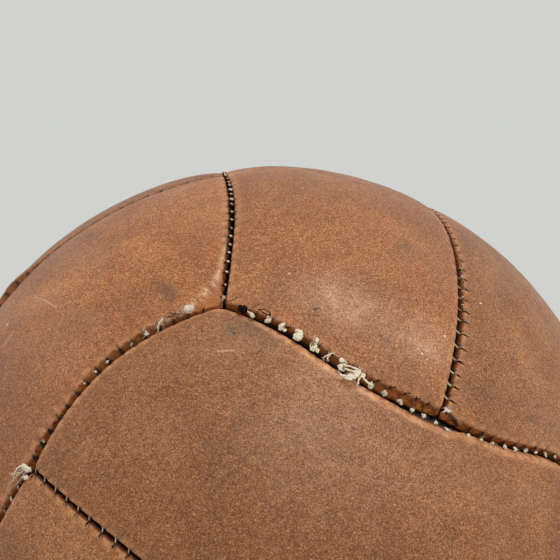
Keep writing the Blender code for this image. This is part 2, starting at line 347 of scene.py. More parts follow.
LIPS = {
    # front to top: the widest opening, crisp above and rolled below
    (E_FRONT_TOP, 1): Lip(table((0, 0.6), (20, 0.3), (66, 0.4), (74, 0.7), (77, 1.3), (81, 4.0), (85, 5.0), (90, 5.0), (94, 4.1),
                                (98.4, 3.4), (103, 1.9), (108, 1.2), (113, 0.8), (120, 0.4), (140, 0.2), (165, 0.3), (172, 0.5)),
                          roll=3.3, deep=table((0, 0.3), (74, 0.3), (82, 2.3), (96, 2.3), (104, 0.6), (112, 0.3)), pucker=0.34, reach=1.8, pull=0.4, fall=0.78, tick=0.3, spread=3.4, dark=(1.2, 2.6), least=0.2,
                          glow=table((0, 0.55), (80, 0.6), (104, 0.75), (118, 1.0), (156, 1.0), (164, 0.5), (172, 0.25))),
    (E_FRONT_TOP, -1): Lip(table((0, 1.4), (28, 2.1), (42, 2.2), (52, 2.0), (60, 1.8), (70, 1.5), (78, 1.2), (85, 1.0), (90, 1.4), (98, 2.3),
                                 (110, 2.8), (125, 2.9), (140, 2.6), (152, 2.2), (162, 1.6), (171, 1.0)),
                           roll=0.8, deep=table((0, 0.9), (72, 0.9), (80, -1.0), (95, -1.0), (110, 0.0), (125, 0.6), (140, 0.9)), pucker=0.5, reach=1.2, pull=0.4, fall=1.1, glow=0.25,
                           tick=table((0, 0.9), (76, 0.8), (84, 0.25), (108, 0.3), (118, 0.9)),
                           dark=(2.2, 3.6), deeper=table((0, 0.0), (58, 0.4), (74, 2.0), (97, 2.0), (108, 1.2), (122, 0.4), (132, -0.4), (154, -0.7), (165, 1.2), (172, 2.0)),
                           lit=table((0, 0.4), (40, 0.6), (58, 0.9), (98, 1.0), (106, 0.6), (130, 0.45), (155, 0.4), (165, 0.7), (171, 0.9))),
    # top to left: a narrow dark slot
    (E_TOP_LEFT, 1): Lip(table((0, 0.8), (86, 0.8), (100, 0.9), (130, 0.8), (150, 0.9), (166, 1.1), (175, 0.9)),
                         roll=0.7, deep=0.3, pucker=0.3, reach=1.2, pull=0.2, dark=(1.2, 2.4)),
    (E_TOP_LEFT, -1): Lip(table((0, 0.8), (86, 0.8), (98, 1.2), (130, 1.5), (150, 1.45), (166, 1.1), (175, 0.9)),
                          roll=0.6, deep=0.3, pucker=0.4, reach=1.4, pull=0.3, fall=1.0, dark=(0.0, 1.6), glow=0.3, lit=0.1,
                          deeper=table((0, 0.0), (162, 0.0), (170, 1.5), (176, 2.0))),
    # front to left: the left side's wall shows as small pillows between stitches
    (E_FRONT_LEFT, 1): Lip(table((0, 1.0), (80, 1.3), (88, 1.7), (94, 2.0), (99, 1.8), (104, 1.0), (108, 0.7), (112, 0.75),
                                 (117, 1.5), (124, 2.1), (132, 2.3), (150, 2.2), (158, 1.7), (165, 1.2), (175, 1.0)),
                           roll=0.8, deep=0.15, pucker=0.9, reach=1.1, pull=1.0, fall=1.1, tick=1.2, glow=0.35,
                           dark=(2.6, 3.6), lit=table((80, 0.35), (100, 0.4), (112, 0.6), (120, 0.95), (146, 0.85), (156, 0.3), (168, 0.7), (175, 0.9))),
    (E_FRONT_LEFT, -1): Lip(table((0, 0.8), (90, 0.6), (130, 0.4), (165, 0.5), (175, 0.6)),
                            roll=1.7, deep=0.2, pucker=0.2, reach=1.4, pull=0.15, fall=0.8, dark=(1.0, 2.4), glow=0.6),
    # down the top face: closed by hand from outside
    (S_TOP, 1): Lip(table((0, 0.6), (25, 0.55), (60, 0.6), (220, 0.7)), roll=1.0, deep=0.3, pucker=0.3, reach=1.2,
                    pull=0.3, dark=(0.6, 1.8)),
    (S_TOP, -1): Lip(table((0, 0.8), (12, 1.0), (35, 1.25), (60, 1.1), (80, 0.8), (220, 0.8)),
                     roll=1.05, deep=0.2, pucker=0.42, reach=1.2, pull=0.6, fall=1.0, lean=-0.3, glow=0.40, spread=0.9,
                     tick=table((0, 1.2), (58, 1.1), (84, 0.45), (220, 0.45)),
                     dark=(1.7, 2.8), lit=table((0, 0.5), (12, 0.7), (50, 0.7), (75, 0.3), (220, 0.2))),
    (S_LEFT, 1): Lip(table((0, 0.8), (85, 0.9), (94, 1.2), (106, 1.2), (116, 0.9), (220, 0.8)), roll=1.2, deep=0.3,
                     pucker=0.3, reach=1.6, pull=0.3, glow=0.0, dark=(0.2, 1.0)),
    (S_LEFT, -1): Lip(table((0, 0.8), (80, 1.0), (90, 2.4), (104, 2.6), (114, 1.2), (220, 0.9)), roll=0.9, deep=0.2,
                      pucker=0.5, reach=1.6, pull=0.8, glow=0.15, spread=0.5, dark=(0.05, 0.8), lit=table((0, 0.0), (82, 0.0), (90, 1.0), (108, 0.9), (116, 0.0), (220, 0.0)),
                      deeper=table((0, 0.0), (83, 0.0), (90, 1.8), (108, 1.8), (116, 0.0), (220, 0.0))),
    (S_FRONT, 1): Lip(table((0, 0.7), (220, 0.8)), roll=1.2, deep=0.3, pucker=0.5, reach=2.0, pull=0.35, lean=-0.2),
    (S_FRONT, -1): Lip(table((0, 0.7), (220, 0.8)), roll=1.4, deep=0.3, pucker=0.5, reach=2.0, pull=0.35, lean=0.2,
                       dark=(1.2, 2.4), lit=0.4),
}


def lip_of(key, side):
    if (key, side) in LIPS:
        return LIPS[(key, side)]
    seed = 7 * sum((i + 1) * (v + 2) for i, v in enumerate(key)) + (side + 1) * 3
    wide = 0.95 + 0.2 * math.sin(seed)

    def edge(s, wide=wide, seed=seed):
        return wide + 0.3 * noise1(np.asarray(s, float) / 23.0, seed)
    return Lip(edge, roll=1.5 + 0.35 * math.sin(seed * 1.7), deep=0.3, pucker=0.5, reach=2.0, pull=0.45, fall=1.0,
               tick=0.9, glow=0.45, dark=(1.6, 3.0), lit=0.25 + 0.25 * math.sin(seed * 2.3))


class Side:
    """One side of a panel: a stretch of a seam's line, seen from the panel."""

    def __init__(self, key, t0, t1, centre):
        self.key, self.line, self.t0, self.t1 = key, line_of(key), t0, t1
        p, ahead, left = self.line.frame(self.line.length_at(np.array([(t0 + t1) / 2.0])))
        self.sign = 1 if float(left[0] @ centre) > 0.0 else -1
        self.lip = lip_of(key, self.sign)
        self.length = abs(float(self.line.length_at(t1) - self.line.length_at(t0)))

    def at(self, x):
        return self.line.at(self.t0 + (self.t1 - self.t0) * np.asarray(x, float))

    def length_along(self, x):
        return self.line.length_at(self.t0 + (self.t1 - self.t0) * np.asarray(x, float))

    def stitch(self, s, width=0.8):
        near = np.abs(np.asarray(s)[..., None] - STITCHES[self.key]).min(axis=-1)
        return np.exp(-(near / width) ** 2)

    def edge(self, x):
        s = self.length_along(x)
        pillow = 1.0 - self.stitch(s, 1.3)
        wobble = 0.18 * noise1(s / 3.1, 5 + self.sign) + 0.12 * noise1(s / 1.1, 9 + self.sign)
        return np.maximum(self.lip.least, self.lip.edge(s) + wobble + self.lip.pull * (pillow - 0.6))


GRID_STEP = 1.15           # mm between vertices over a panel
MARGIN = 8.0               # mm of rings round a panel's open area
OPEN_RINGS = (0.35, 0.8, 1.4, 2.1, 3.0, 4.1, 5.4, 6.7)
WALL = (-6.7, -5.2, -3.9, -2.9)


class Panel:
    def __init__(self, name, face, split, along, side):
        self.name = name
        s = tuple(side * x for x in split)
        add = lambda *vs: tuple(int(sum(v[i] for v in vs)) for i in range(3))
        neg = tuple(-x for x in along)
        self.centre = unit(np.array(face) + 0.45 * np.array(s))
        t_near, t_far, long_mid = add(face, neg), add(face, along), add(face, s)
        corner_near, corner_far = add(face, s, neg), add(face, s, along)

        def half(mid, corner):
            line, low, high = EDGES[mid]
            return (mid, 0.5, 0.0) if corner == low else (mid, 0.5, 1.0)

        c = self.centre
        self.bottom = Side(face, 1.0, 0.0, c)            # stem line runs far to near
        self.left = Side(*half(t_near, corner_near), c)
        self.right = Side(*half(t_far, corner_far), c)
        low = EDGES[long_mid][1]
        self.top = Side(long_mid, 0.0, 1.0, c) if low == corner_near else Side(long_mid, 1.0, 0.0, c)
        self.flip = float(np.dot(face, np.cross(along, s))) < 0.0
        self.corners = {"bl": t_near, "br": t_far, "tl": corner_near, "tr": corner_far}
        grid = np.linspace(0, 1, 41)
        uu, vv = np.meshgrid(grid, grid, indexing="xy")
        d = self.direction(uu, vv)
        self._grid = grid
        self._across_u = angle_mm(d[:, 1:], d[:, :-1]).sum(axis=1)     # length along u at each v
        self._across_v = angle_mm(d[1:, :], d[:-1, :]).sum(axis=0)     # length along v at each u

    def direction(self, u, v):
        u, v = np.asarray(u, float), np.asarray(v, float)
        b, t, l, r = self.bottom.at(u), self.top.at(u), self.left.at(v), self.right.at(v)
        u, v = u[..., None], v[..., None]
        b0, b1 = self.bottom.at(0.0), self.bottom.at(1.0)
        t0, t1 = self.top.at(0.0), self.top.at(1.0)
        return unit(b * (1 - v) + t * v + l * (1 - u) + r * u
                    - (b0 * (1 - u) * (1 - v) + b1 * u * (1 - v) + t0 * (1 - u) * v + t1 * u * v))

    def len_u(self, v):
        return np.interp(v, self._grid, self._across_u)

    def len_v(self, u):
        return np.interp(u, self._grid, self._across_v)


# how far the corner of a panel is rounded where three seams meet, in mm
CORNER_ROUND = {("front_upper", (1, 1, 1)): 2.6, ("left_front", (1, 1, 1)): 1.0, ("top_left", (1, 1, 1)): 1.2}


def corner_round(name, key):
    plain = 3.0 if 0 not in key else 1.6
    return CORNER_ROUND.get((name, key), plain)


def build_panel(panel, features):
    lu, lv = panel.len_u, panel.len_v
    n = int(round(panel.len_u(0.5) / GRID_STEP)) + 1
    m = int(round(panel.len_v(0.5) / GRID_STEP)) + 1
    a, b = np.linspace(0, 1, n), np.linspace(0, 1, m)
    # the loop round the open area, and the side that each of its vertices faces
    fine_a, fine_b = np.linspace(0, 1, 2 * n - 1), np.linspace(0, 1, 2 * m - 1)
    alpha = np.concatenate([fine_a, np.ones(2 * m - 2), fine_a[-2::-1], np.zeros(2 * m - 3)])
    beta = np.concatenate([np.zeros(2 * n - 1), fine_b[1:], np.ones(2 * n - 2), fine_b[-2:0:-1]])
    count = len(alpha)

    def inner_uv(al, be):
        u, v = al, be
        for _ in range(3):
            mu, mv = (MARGIN + 1.0) / lu(v), (MARGIN + 1.0) / lv(u)
            u = mu + (1 - 2 * mu) * al
            v = mv + (1 - 2 * mv) * be
        return u, v

    au, bv = np.meshgrid(a, b, indexing="xy")
    gu, gv = inner_uv(au, bv)
    pu, pv = inner_uv(alpha, beta)

    # outline: rounded corners in millimetres from the two sides of each corner
    gl, gr = panel.left.edge(beta), panel.right.edge(beta)
    gb, gt = panel.bottom.edge(alpha), panel.top.edge(alpha)
    wide, tall = panel.len_u(beta), panel.len_v(alpha)
    x = alpha * (wide - gl - gr)
    y = beta * (tall - gb - gt)
    full_x, full_y = wide - gl - gr, tall - gb - gt
    ox, oy = x.copy(), y.copy()
    for corner, cx, cy in (("bl", 0, 0), ("br", 1, 0), ("tl", 0, 1), ("tr", 1, 1)):
        r = corner_round(panel.name, panel.corners[corner])
        dx = (full_x - x) if cx else x
        dy = (full_y - y) if cy else y
        on_h = (dy < 1e-9) & (dx <= r)
        on_v = (dx < 1e-9) & (dy <= r)
        for mask, run, swap in ((on_h, dx, False), (on_v & ~on_h, dy, True)):
            phi = (run[mask] / r) * (math.pi / 4)
            far = r - r * np.cos(math.pi / 4 + phi)
            near = r - r * np.sin(math.pi / 4 + phi)
            qx, qy = (near, far) if swap else (far, near)
            ox[mask] = full_x[mask] - qx if cx else qx
            oy[mask] = full_y[mask] - qy if cy else qy
    ou = (gl + ox) / wide
    ov = (gb + oy) / tall

    # each ring lies on the way from the outline to the open area
    px, py = pu * wide, pv * tall
    qx, qy = ou * wide, ov * tall
    gap = np.hypot(px - qx, py - qy)
    stepx, stepy = (px - qx) / gap, (py - qy) / gap

    side_of = np.where(beta < 1e-9, 0, np.where(beta > 1 - 1e-9, 2, np.where(alpha > 0.5, 1, 3)))
    sides = (panel.bottom, panel.right, panel.top, panel.left)
    share = (alpha, beta, alpha, beta)
    stitch = np.zeros(count); roll = np.zeros(count); edge = np.zeros(count); deep = np.zeros(count)
    pucker = np.zeros(count); reach = np.zeros(count); s_here = np.zeros(count)
    fall = np.zeros(count); glow = np.zeros(count); ticks = np.zeros(count)
    dark0 = np.zeros(count); dark1 = np.zeros(count); lit = np.zeros(count); spread = np.zeros(count)
    for k, side in enumerate(sides):
        mask = side_of == k
        s = side.length_along(share[k][mask])
        s_here[mask] = s
        fall[mask], glow[mask], ticks[mask] = side.lip.fall, side.lip.glow(s), side.lip.tick(s)
        spread[mask] = side.lip.spread
        dark0[mask], dark1[mask] = side.lip.dark[0] + side.lip.deeper(s), side.lip.dark[1] + side.lip.deeper(s)
        lit[mask] = side.lip.lit(s)
        roll[mask] = side.lip.roll
        edge[mask] = side.edge(share[k][mask])
        deep[mask] = side.lip.deep(s)
        pucker[mask] = side.lip.pucker
        reach[mask] = side.lip.reach
    # values glide from one side to the next round the corners
    def glide(values, width=17):
        k = np.hanning(width + 2)[1:-1]; k /= k.sum()
        return np.convolve(np.concatenate([values[-width:], values, values[:width]]), k, "same")[width:-width]
    roll, deep, pucker, reach, fall, glow, dark0, dark1, lit, spread = (
        glide(x) for x in (roll, deep, pucker, reach, fall, glow, dark0, dark1, lit, spread))
    edge_soft = glide(edge, 9)
    rounding = np.hypot(x - ox, y - oy)

    rows = []                                    # (offset from the outline, height, open distance)
    foot = -(np.maximum(0.0, edge_soft - deep)) - 0.8 * rounding
    for across, w in ((4.6, -3.5), (3.5, -4.6), (3.1, -6.3), (1.5, -6.75)):
        rows.append((foot + across, np.full(count, w), np.full(count, -9.0)))
    for w in WALL:
        back = -(np.maximum(0.0, edge_soft - deep)) * min(1.0, (-0.9 - w) / 3.6) - 0.8 * rounding * min(1.0, -w / 4.0)
        rows.append((back, np.full(count, w), np.full(count, w)))
    for theta in (0.0, 0.3, 0.6, 0.9, 1.2, 1.45):
        rows.append((roll * (1 - math.cos(theta)), -fall * roll * (1 - math.sin(theta)), roll * (1 - math.cos(theta))))
    room = np.minimum(1.0, (gap - 0.6 - roll) / OPEN_RINGS[-1])
    for d in OPEN_RINGS:
        rows.append((roll + d * room, -0.012 * roll * math.exp(-d), roll + d * room))

    ring_u, ring_v, ring_h, ring_d, ring_s, ring_t, ring_g, ring_l = [], [], [], [], [], [], [], []
    for off, h, dist in rows:
        stitch, fine = np.zeros(count), np.zeros(count)
        for k, side in enumerate(sides):
            mask = side_of == k
            s = s_here[mask] + side.lip.lean * -np.maximum(dist[mask], 0.0)
            stitch[mask], fine[mask] = side.stitch(s, 0.95), side.stitch(s, 0.55)
        off = np.minimum(off, gap - 0.5)
        ring_u.append((qx + stepx * off) / wide)
        ring_v.append((qy + stepy * off) / tall)
        dent = pucker * np.exp(-np.maximum(dist, 0.0) / reach) * stitch
        groove = 0.35 * pucker * np.exp(-np.maximum(dist - 0.5, 0.0) / (0.8 * reach)) * fine
        keep = smoothstep(-4.5, -0.5, h)
        ring_h.append(h - (dent + groove) * keep)
        ring_d.append(dist)
        ring_s.append(stitch * np.exp(-np.maximum(dist, 0.0) / (0.8 * reach)))
        # dark ticks at the stitches: the dark thread sunk in its groove, painted together with the groove's shade
        ring_t.append(fine * (dist > -3.1) * np.exp(-np.maximum(dist - 0.6, 0.0) / (0.7 * reach)) * ticks)
        # painted shade: the wall is painted black between the lip's dark depths
        ring_g.append(smoothstep(dark0, dark1, -dist))
        # painted light on the wall, weaker at the stitches so the pillows between them look lit
        ring_l.append(lit * smoothstep(0.3, -0.4, dist) * (0.35 + 0.65 * (1.0 - stitch)))
    ring_u, ring_v = np.array(ring_u), np.array(ring_v)
    ring_h, ring_d, ring_s, ring_t = np.array(ring_h), np.array(ring_d), np.array(ring_s), np.array(ring_t)
    ring_g, ring_l = np.array(ring_g), np.array(ring_l)
    rings = len(rows)

    u = np.concatenate([ring_u.ravel(), gu.ravel(), gu.ravel()])
    v = np.concatenate([ring_v.ravel(), gv.ravel(), gv.ravel()])
    flat, outer = gu.size, ring_d.size
    d = panel.direction(u, v)
    # distance over the hide from the nearest seam, for the crown and the colour
    du, dv = lu(v), lv(u)
    to = np.stack([v * dv, (1 - u) * du, (1 - v) * dv, u * du])
    soft = np.maximum(-3.0 * np.log(np.exp(-to / 3.0).sum(axis=0)), 0.0)
    height = np.concatenate([ring_h.ravel(), np.zeros(flat), np.full(flat, -3.1)])
    open_d = np.concatenate([ring_d.ravel(), soft[outer:outer + flat], np.full(flat, -9.0)])
    world = d @ AXES
    # the hide hangs from its seams and swells between them; its inner face follows
    height = height + cushion(world, soft) * smoothstep(-6.9, -1.0, height)
    extra_colour = np.zeros((3, len(u)))         # painted light in the corner's hollow, stain, shine (painted highlight)
    for feature in features:
        feature(panel, d, world, open_d, height, extra_colour)

    rest = np.zeros(2 * flat)
    # painted light on the rolled lip, reaching a little way on to the open hide
    ring_lip_light = glow[None, :] * np.exp(-(np.maximum(ring_d - spread[None, :], 0.0) / 1.3) ** 2) * (ring_d > -0.6)
    verts = to_world(d, height)
    idx = np.arange(outer).reshape(len(rows), count)
    nxt = np.roll(idx, -1, axis=1)
    quads = [np.stack([idx[:-1], nxt[:-1], nxt[1:], idx[1:]], axis=-1).reshape(-1, 4)]
    tris = []
    for start, ring, turned in ((outer, idx[-1], False), (outer + flat, idx[0], True)):
        grid = start + np.arange(n * m).reshape(m, n)
        q = np.stack([grid[:-1, :-1], grid[:-1, 1:], grid[1:, 1:], grid[1:, :-1]], axis=-1).reshape(-1, 4)
        loop = np.concatenate([grid[0, :], grid[1:, -1], grid[-1, -2::-1], grid[-2:0:-1, 0]])
        even, odd, after, loop_next = ring[0::2], ring[1::2], np.roll(ring[0::2], -1), np.roll(loop, -1)
        t = np.concatenate([np.stack([even, odd, loop], axis=-1), np.stack([odd, after, loop_next], axis=-1),
                            np.stack([odd, loop_next, loop], axis=-1)])
        quads.append(q[:, ::-1] if turned else q)
        tris.append(t[:, ::-1] if turned else t)
    quads, tris = np.concatenate(quads), np.concatenate(tris)
    if panel.flip:
        quads, tris = quads[:, ::-1], tris[:, ::-1]
    attributes = {
        "seam_d": open_d, "stitch": np.concatenate([ring_s.ravel(), rest]), "tick": np.concatenate([ring_t.ravel(), rest]),
        "glow": np.concatenate([ring_lip_light.ravel(), rest]), "gloom": np.concatenate([ring_g.ravel(), rest]),
        "lit": np.concatenate([ring_l.ravel(), rest]),
        "crease": extra_colour[0], "stain": extra_colour[1], "shine": extra_colour[2],
    }
    return verts, (quads, tris), attributes


def mesh_object(name, verts, faces, attributes=None, smooth=True):
    mesh = bpy.data.meshes.new(name)
    verts = np.asarray(verts, np.float32)
    faces = [np.asarray(f, np.int32) for f in (faces if isinstance(faces, tuple) else (faces,))]
    corners = np.concatenate([f.ravel() for f in faces])
    totals = np.concatenate([np.full(len(f), f.shape[1], np.int32) for f in faces])
    starts = np.concatenate([[0], np.cumsum(totals)[:-1]]).astype(np.int32)
    mesh.vertices.add(len(verts))
    mesh.vertices.foreach_set("co", verts.ravel())
    mesh.loops.add(len(corners))
    mesh.loops.foreach_set("vertex_index", corners)
    mesh.polygons.add(len(totals))
    mesh.polygons.foreach_set("loop_start", starts)
    mesh.polygons.foreach_set("loop_total", totals)
    mesh.update(calc_edges=True)
    mesh.validate()
    for key, values in (attributes or {}).items():
        layer = mesh.attributes.new(key, "FLOAT", "POINT")
        layer.data.foreach_set("value", np.asarray(values, np.float32))
    if smooth:
        mesh.polygons.foreach_set("use_smooth", np.ones(len(mesh.polygons), bool))
    obj = bpy.data.objects.new(name, mesh)
    bpy.context.scene.collection.objects.link(obj)
    return obj

# ------------------------------------------------------------ threads, knots, fibres
class Batch:
    """Triangles and quads gathered into one mesh. Points are in millimetres
    from the ball's centre, in world axes."""

    def __init__(self):
        self.verts, self.faces, self.tint, self.count = [], [], [], 0

    def add(self, verts, faces, tint=0.0):
        verts = np.asarray(verts, float)
        self.verts.append(verts)
        self.faces.append(np.asarray(faces, np.int64) + self.count)
        self.tint.append(np.broadcast_to(np.asarray(tint, float), (len(verts),)))
        self.count += len(verts)

    def tube(self, points, radii, sides=7, tint=0.0, twist=0.0, plies=0.0):
        """A round or laid thread along the points, closed at both ends."""
        p = np.asarray(points, float)
        r = np.broadcast_to(np.asarray(radii, float), (len(p),))
        ahead = np.gradient(p, axis=0)
        ahead /= np.maximum(np.linalg.norm(ahead, axis=1, keepdims=True), 1e-9)
        guide = np.array([0.31, 0.52, 0.79]) if abs(ahead[0, 2]) < 0.9 else np.array([0.9, 0.3, 0.1])
        side = np.cross(ahead[0], guide); side /= np.linalg.norm(side)
        ring = []
        for k in range(len(p)):
            side = side - ahead[k] * (side @ ahead[k])
            side /= max(np.linalg.norm(side), 1e-9)
            up = np.cross(ahead[k], side)
            angle = np.linspace(0, 2 * math.pi, sides, endpoint=False)
            rr = r[k] * (1.0 + plies * np.cos(3 * angle + twist * k))
            ring.append(p[k] + (np.cos(angle)[:, None] * side + np.sin(angle)[:, None] * up) * rr[:, None])
        n = len(p)
        verts = np.concatenate(ring + [p[:1] - ahead[:1] * r[0] * 0.6, p[-1:] + ahead[-1:] * r[-1] * 0.6])
        quads = []
        for k in range(n - 1):
            for j in range(sides):
                a, b = k * sides + j, k * sides + (j + 1) % sides
                quads.append((a, b, b + sides)); quads.append((a, b + sides, a + sides))
        for j in range(sides):
            quads.append((n * sides, (j + 1) % sides, j))
            quads.append((n * sides + 1, (n - 1) * sides + j, (n - 1) * sides + (j + 1) % sides))
        tints = np.broadcast_to(np.asarray(tint, float), (n,))
        self.add(verts, quads, np.concatenate([np.repeat(tints, sides), tints[:1], tints[-1:]]))

    def blob(self, centre, axes, size, seed, rough=0.28, level=3, tint=0.0, cell=1.1):
        """A knot or tuft of matted thread: a ball pushed out of shape by noise."""
        v, f = icosphere(level)
        bump = 1.0 + rough * fbm(v * cell * 2.0 + seed * 3.1, seed, 3) + 0.7 * rough * np.abs(fbm(v * cell * 6.0 + seed, seed + 5, 2)) \
            - 0.5 * rough * np.abs(fbm(v * cell * 11.0 - seed, seed + 9, 2))
        local = v * bump[:, None] * np.asarray(size, float)
        self.add(np.asarray(centre) + local @ np.asarray(axes), f, tint)

    def fibres(self, centre, out, count, length, spread, seed, radius=0.07, tint=0.0, start=0.3):
        """Loose ends that stand out of a frayed thread."""
        rng = np.random.default_rng(seed)
        out = np.asarray(out, float) / np.linalg.norm(out)
        for _ in range(count):
            aim = out + rng.normal(0, spread, 3)
            aim /= np.linalg.norm(aim)
            curl = rng.normal(0, 1.0, 3) * 0.5
            far = length * rng.uniform(0.45, 1.0)
            t = np.linspace(0, 1, 7)[:, None]
            p = np.asarray(centre) + rng.normal(0, start, 3) + aim * t * far + curl * t * t * far * 0.5
            self.tube(p, radius * (1.0 - 0.6 * t[:, 0]), sides=4, tint=tint)

    def finish(self, name, body="root"):
        verts = np.concatenate(self.verts) + CENTRE
        verts[:, 2] = np.maximum(verts[:, 2], 0.4)
        obj = mesh_object(name, verts * MM, np.concatenate(self.faces), {"tint": np.concatenate(self.tint)})
        return obj


_ICO = {}


def icosphere(level):
    if level in _ICO:
        return _ICO[level]
    g = (1 + 5 ** 0.5) / 2
    v = unit(np.array([(-1, g, 0), (1, g, 0), (-1, -g, 0), (1, -g, 0), (0, -1, g), (0, 1, g),
                       (0, -1, -g), (0, 1, -g), (g, 0, -1), (g, 0, 1), (-g, 0, -1), (-g, 0, 1)], float))
    f = [(0, 11, 5), (0, 5, 1), (0, 1, 7), (0, 7, 10), (0, 10, 11), (1, 5, 9), (5, 11, 4), (11, 10, 2), (10, 7, 6),
         (7, 1, 8), (3, 9, 4), (3, 4, 2), (3, 2, 6), (3, 6, 8), (3, 8, 9), (4, 9, 5), (2, 4, 11), (6, 2, 10),
         (8, 6, 7), (9, 8, 1)]
    v = [tuple(x) for x in v]
    for _ in range(level):
        cache, new = {}, []

        def middle(a, b):
            key = (min(a, b), max(a, b))
            if key not in cache:
                m = unit(np.array(v[a]) + np.array(v[b]))
                v.append(tuple(m)); cache[key] = len(v) - 1
            return cache[key]
        for a, b, c in f:
            x, y, z = middle(a, b), middle(b, c), middle(c, a)
            new += [(a, x, z), (b, y, x), (c, z, y), (x, y, z)]
        f = new
    _ICO[level] = (np.array(v), np.array(f))
    return _ICO[level]


class Seam:
    """A stretch of a line with the lips on its two sides, in world axes."""

    def __init__(self, key, s0, s1):
        self.key, self.line, self.s0, self.s1 = key, line_of(key), s0, s1

    def point(self, s, across=0.0, height=0.0):
        """The point at a length along, a distance across (to the left) and a height, in mm."""
        p, _, left = self.line.frame(np.asarray(s, float))
        across = np.asarray(across, float)
        d = unit(p + left * (across / RADIUS)[..., None])
        return (d @ AXES) * (RADIUS + np.asarray(height, float))[..., None]

    def axes(self, s):
        """Rows: along, across, outward, in world axes."""
        p, ahead, left = self.line.frame(np.array([float(s)]))
        return np.concatenate([ahead, left, p]) @ AXES

    def edge(self, s, side):
        lip = lip_of(self.key, side)
        return float(lip.edge(np.array([float(s)]))[0])

    def rest(self, s, across, stitched=1.0):
        """Height of the hide's surface at a place beside the seam; over the slot,
        the level of the lips' feet."""
        s, across = np.broadcast_arrays(np.asarray(s, float), np.asarray(across, float))
        p, _, left = self.line.frame(s.ravel())
        d = unit(p + left * (across.ravel() / RADIUS)[..., None])
        base = cushion(d @ AXES, np.abs(across.ravel())).reshape(s.shape)
        out = np.zeros(s.shape)
        for k in np.ndindex(s.shape):
            lip = lip_of(self.key, 1 if across[k] > 0 else -1)
            x = abs(across[k]) - float(lip.edge(np.array([s[k]]))[0])
            if x < 0.0:
                out[k] = -lip.fall * lip.roll
            else:
                turn = math.acos(max(-1.0, 1.0 - x / lip.roll)) if x < lip.roll else math.pi / 2
                dent = lip.pucker * math.exp(-x / lip.reach) * (1.0 + 0.3 * math.exp(-max(x - 0.5, 0.0) / lip.reach))
                out[k] = -lip.fall * lip.roll * (1.0 - math.sin(turn)) - stitched * dent
        return base + out


def stitch_crossing(batch, seam, s, seed, depth=3.2, radius=0.34, slant=0.5, tint=0.1, sag=0.35, thread_shade=0.8, lit_spot=(0.0, 1.0), into=0.5):
    """One stitch crossing the open seam between its two walls, well down in it.
    The thread is painted pale at one place across the seam, over a given width, and darker away from it: painted shade
    down in the slot.
    into is how far its ends go into the walls."""
    rng = np.random.default_rng(seed)
    wl, wr = seam.edge(s, 1), seam.edge(s, -1)
    x = np.linspace(-(wr + into), wl + into, 9)
    t = np.linspace(-1, 1, 9)
    ss = s + slant * t + rng.normal(0, 0.12)
    h = -depth + sag * (1 - t * t) + rng.normal(0, 0.2)
    # painted shade: the thread darkens away from its lit spot, where it runs down into the slot's shade
    shade = np.clip(tint + rng.uniform(-0.1, 0.25) + thread_shade * (1.0 - np.exp(-((t - lit_spot[0]) / lit_spot[1]) ** 2)), 0, 1)
    batch.tube(seam.point(ss, x, h), radius * rng.uniform(0.85, 1.15), sides=8, plies=0.16, twist=0.9, tint=shade)


def stitch_over(batch, seam, s, seed, reach_right=2.6, reach_left=0.5, radius=0.36, lean=0.25, pale=1.0, dull=0.0):
    """One stitch of a seam closed from outside. It dives through a hole in the
    right side, runs dark over that lip, pale across the slot and over the left lip."""
    rng = np.random.default_rng(seed)
    wl, wr = seam.edge(s, 1), seam.edge(s, -1)
    x = np.array([-(wr + reach_right + 0.35), -(wr + reach_right), -(wr + 0.6 * reach_right), -(wr + 0.9), -(wr + 0.1),
                  -wr * 0.3, wl * 0.6, wl + 0.2, wl + reach_left])
    ds = np.array([-1.0, -0.9, -0.7, -0.45, -0.2, 0.15, 0.6, 0.8, 1.0]) * lean * 3.4
    lift = np.array([-0.5, 0.02, 0.16, 0.24, 0.36, 0.0, 0.0, 0.16, -0.9])
    thick = np.array([0.18, 0.35, 0.65, 1.0, 1.0, 0.75, 0.65, 0.6, 0.5])
    shade = np.array([1.0, 1.0, 1.0, 0.95, 0.6, 0.16, 0.12, 0.25, 0.9])
    ss = s + ds + rng.normal(0, 0.10)
    h = seam.rest(ss, x) + lift
    h[5:7] = np.maximum(h[5:7], 0.5 * (h[4] + h[7]) - 0.15)
    fine = np.linspace(0, len(x) - 1, 25)
    spread = lambda values: np.interp(fine, np.arange(len(values)), values)
    tint = np.clip(1.0 - (1.0 - spread(shade)) * pale + dull + rng.uniform(-0.05, 0.2), 0, 1)
    batch.tube(seam.point(spread(ss), spread(x), spread(h)), radius * spread(thick) * rng.uniform(0.85, 1.15),
               sides=8, plies=0.14, twist=0.9, tint=tint)


def knot(batch, seam, s, across, height, size, seed, tint=0.0, hairs=9, hair=1.6):
    axes = seam.axes(s)
    rng = np.random.default_rng(seed)
    turn = rng.normal(0, 0.35)
    c, n = math.cos(turn), math.sin(turn)
    frame3 = np.array([c * axes[0] + n * axes[1], -n * axes[0] + c * axes[1], axes[2]])
    at = seam.point(np.array([float(s)]), np.array([float(across)]), np.array([float(height)]))[0]
    batch.blob(at, frame3, np.asarray(size) * 0.82, seed, tint=tint, rough=0.45)
    for k in range(4):
        off = rng.normal(0, 0.55, 3) * np.asarray(size) @ frame3
        shade = float(np.clip(tint + rng.choice([0.0, 0.0, 0.12, 0.45]), 0, 1))
        batch.blob(at + off, frame3, np.asarray(size) * rng.uniform(0.3, 0.6, 3), seed + 50 + k, tint=shade, level=2, rough=0.5)
    batch.fibres(at, axes[2] + rng.normal(0, 0.5) * axes[1], hairs, hair, 0.75, seed + 7, tint=tint)


# ------------------------------------------------------------ materials
def new_material(name):
    mat = bpy.data.materials.new(name)
    mat.use_nodes = True
    tree = mat.node_tree
    shader = tree.nodes["Principled BSDF"]
    return mat, tree, shader


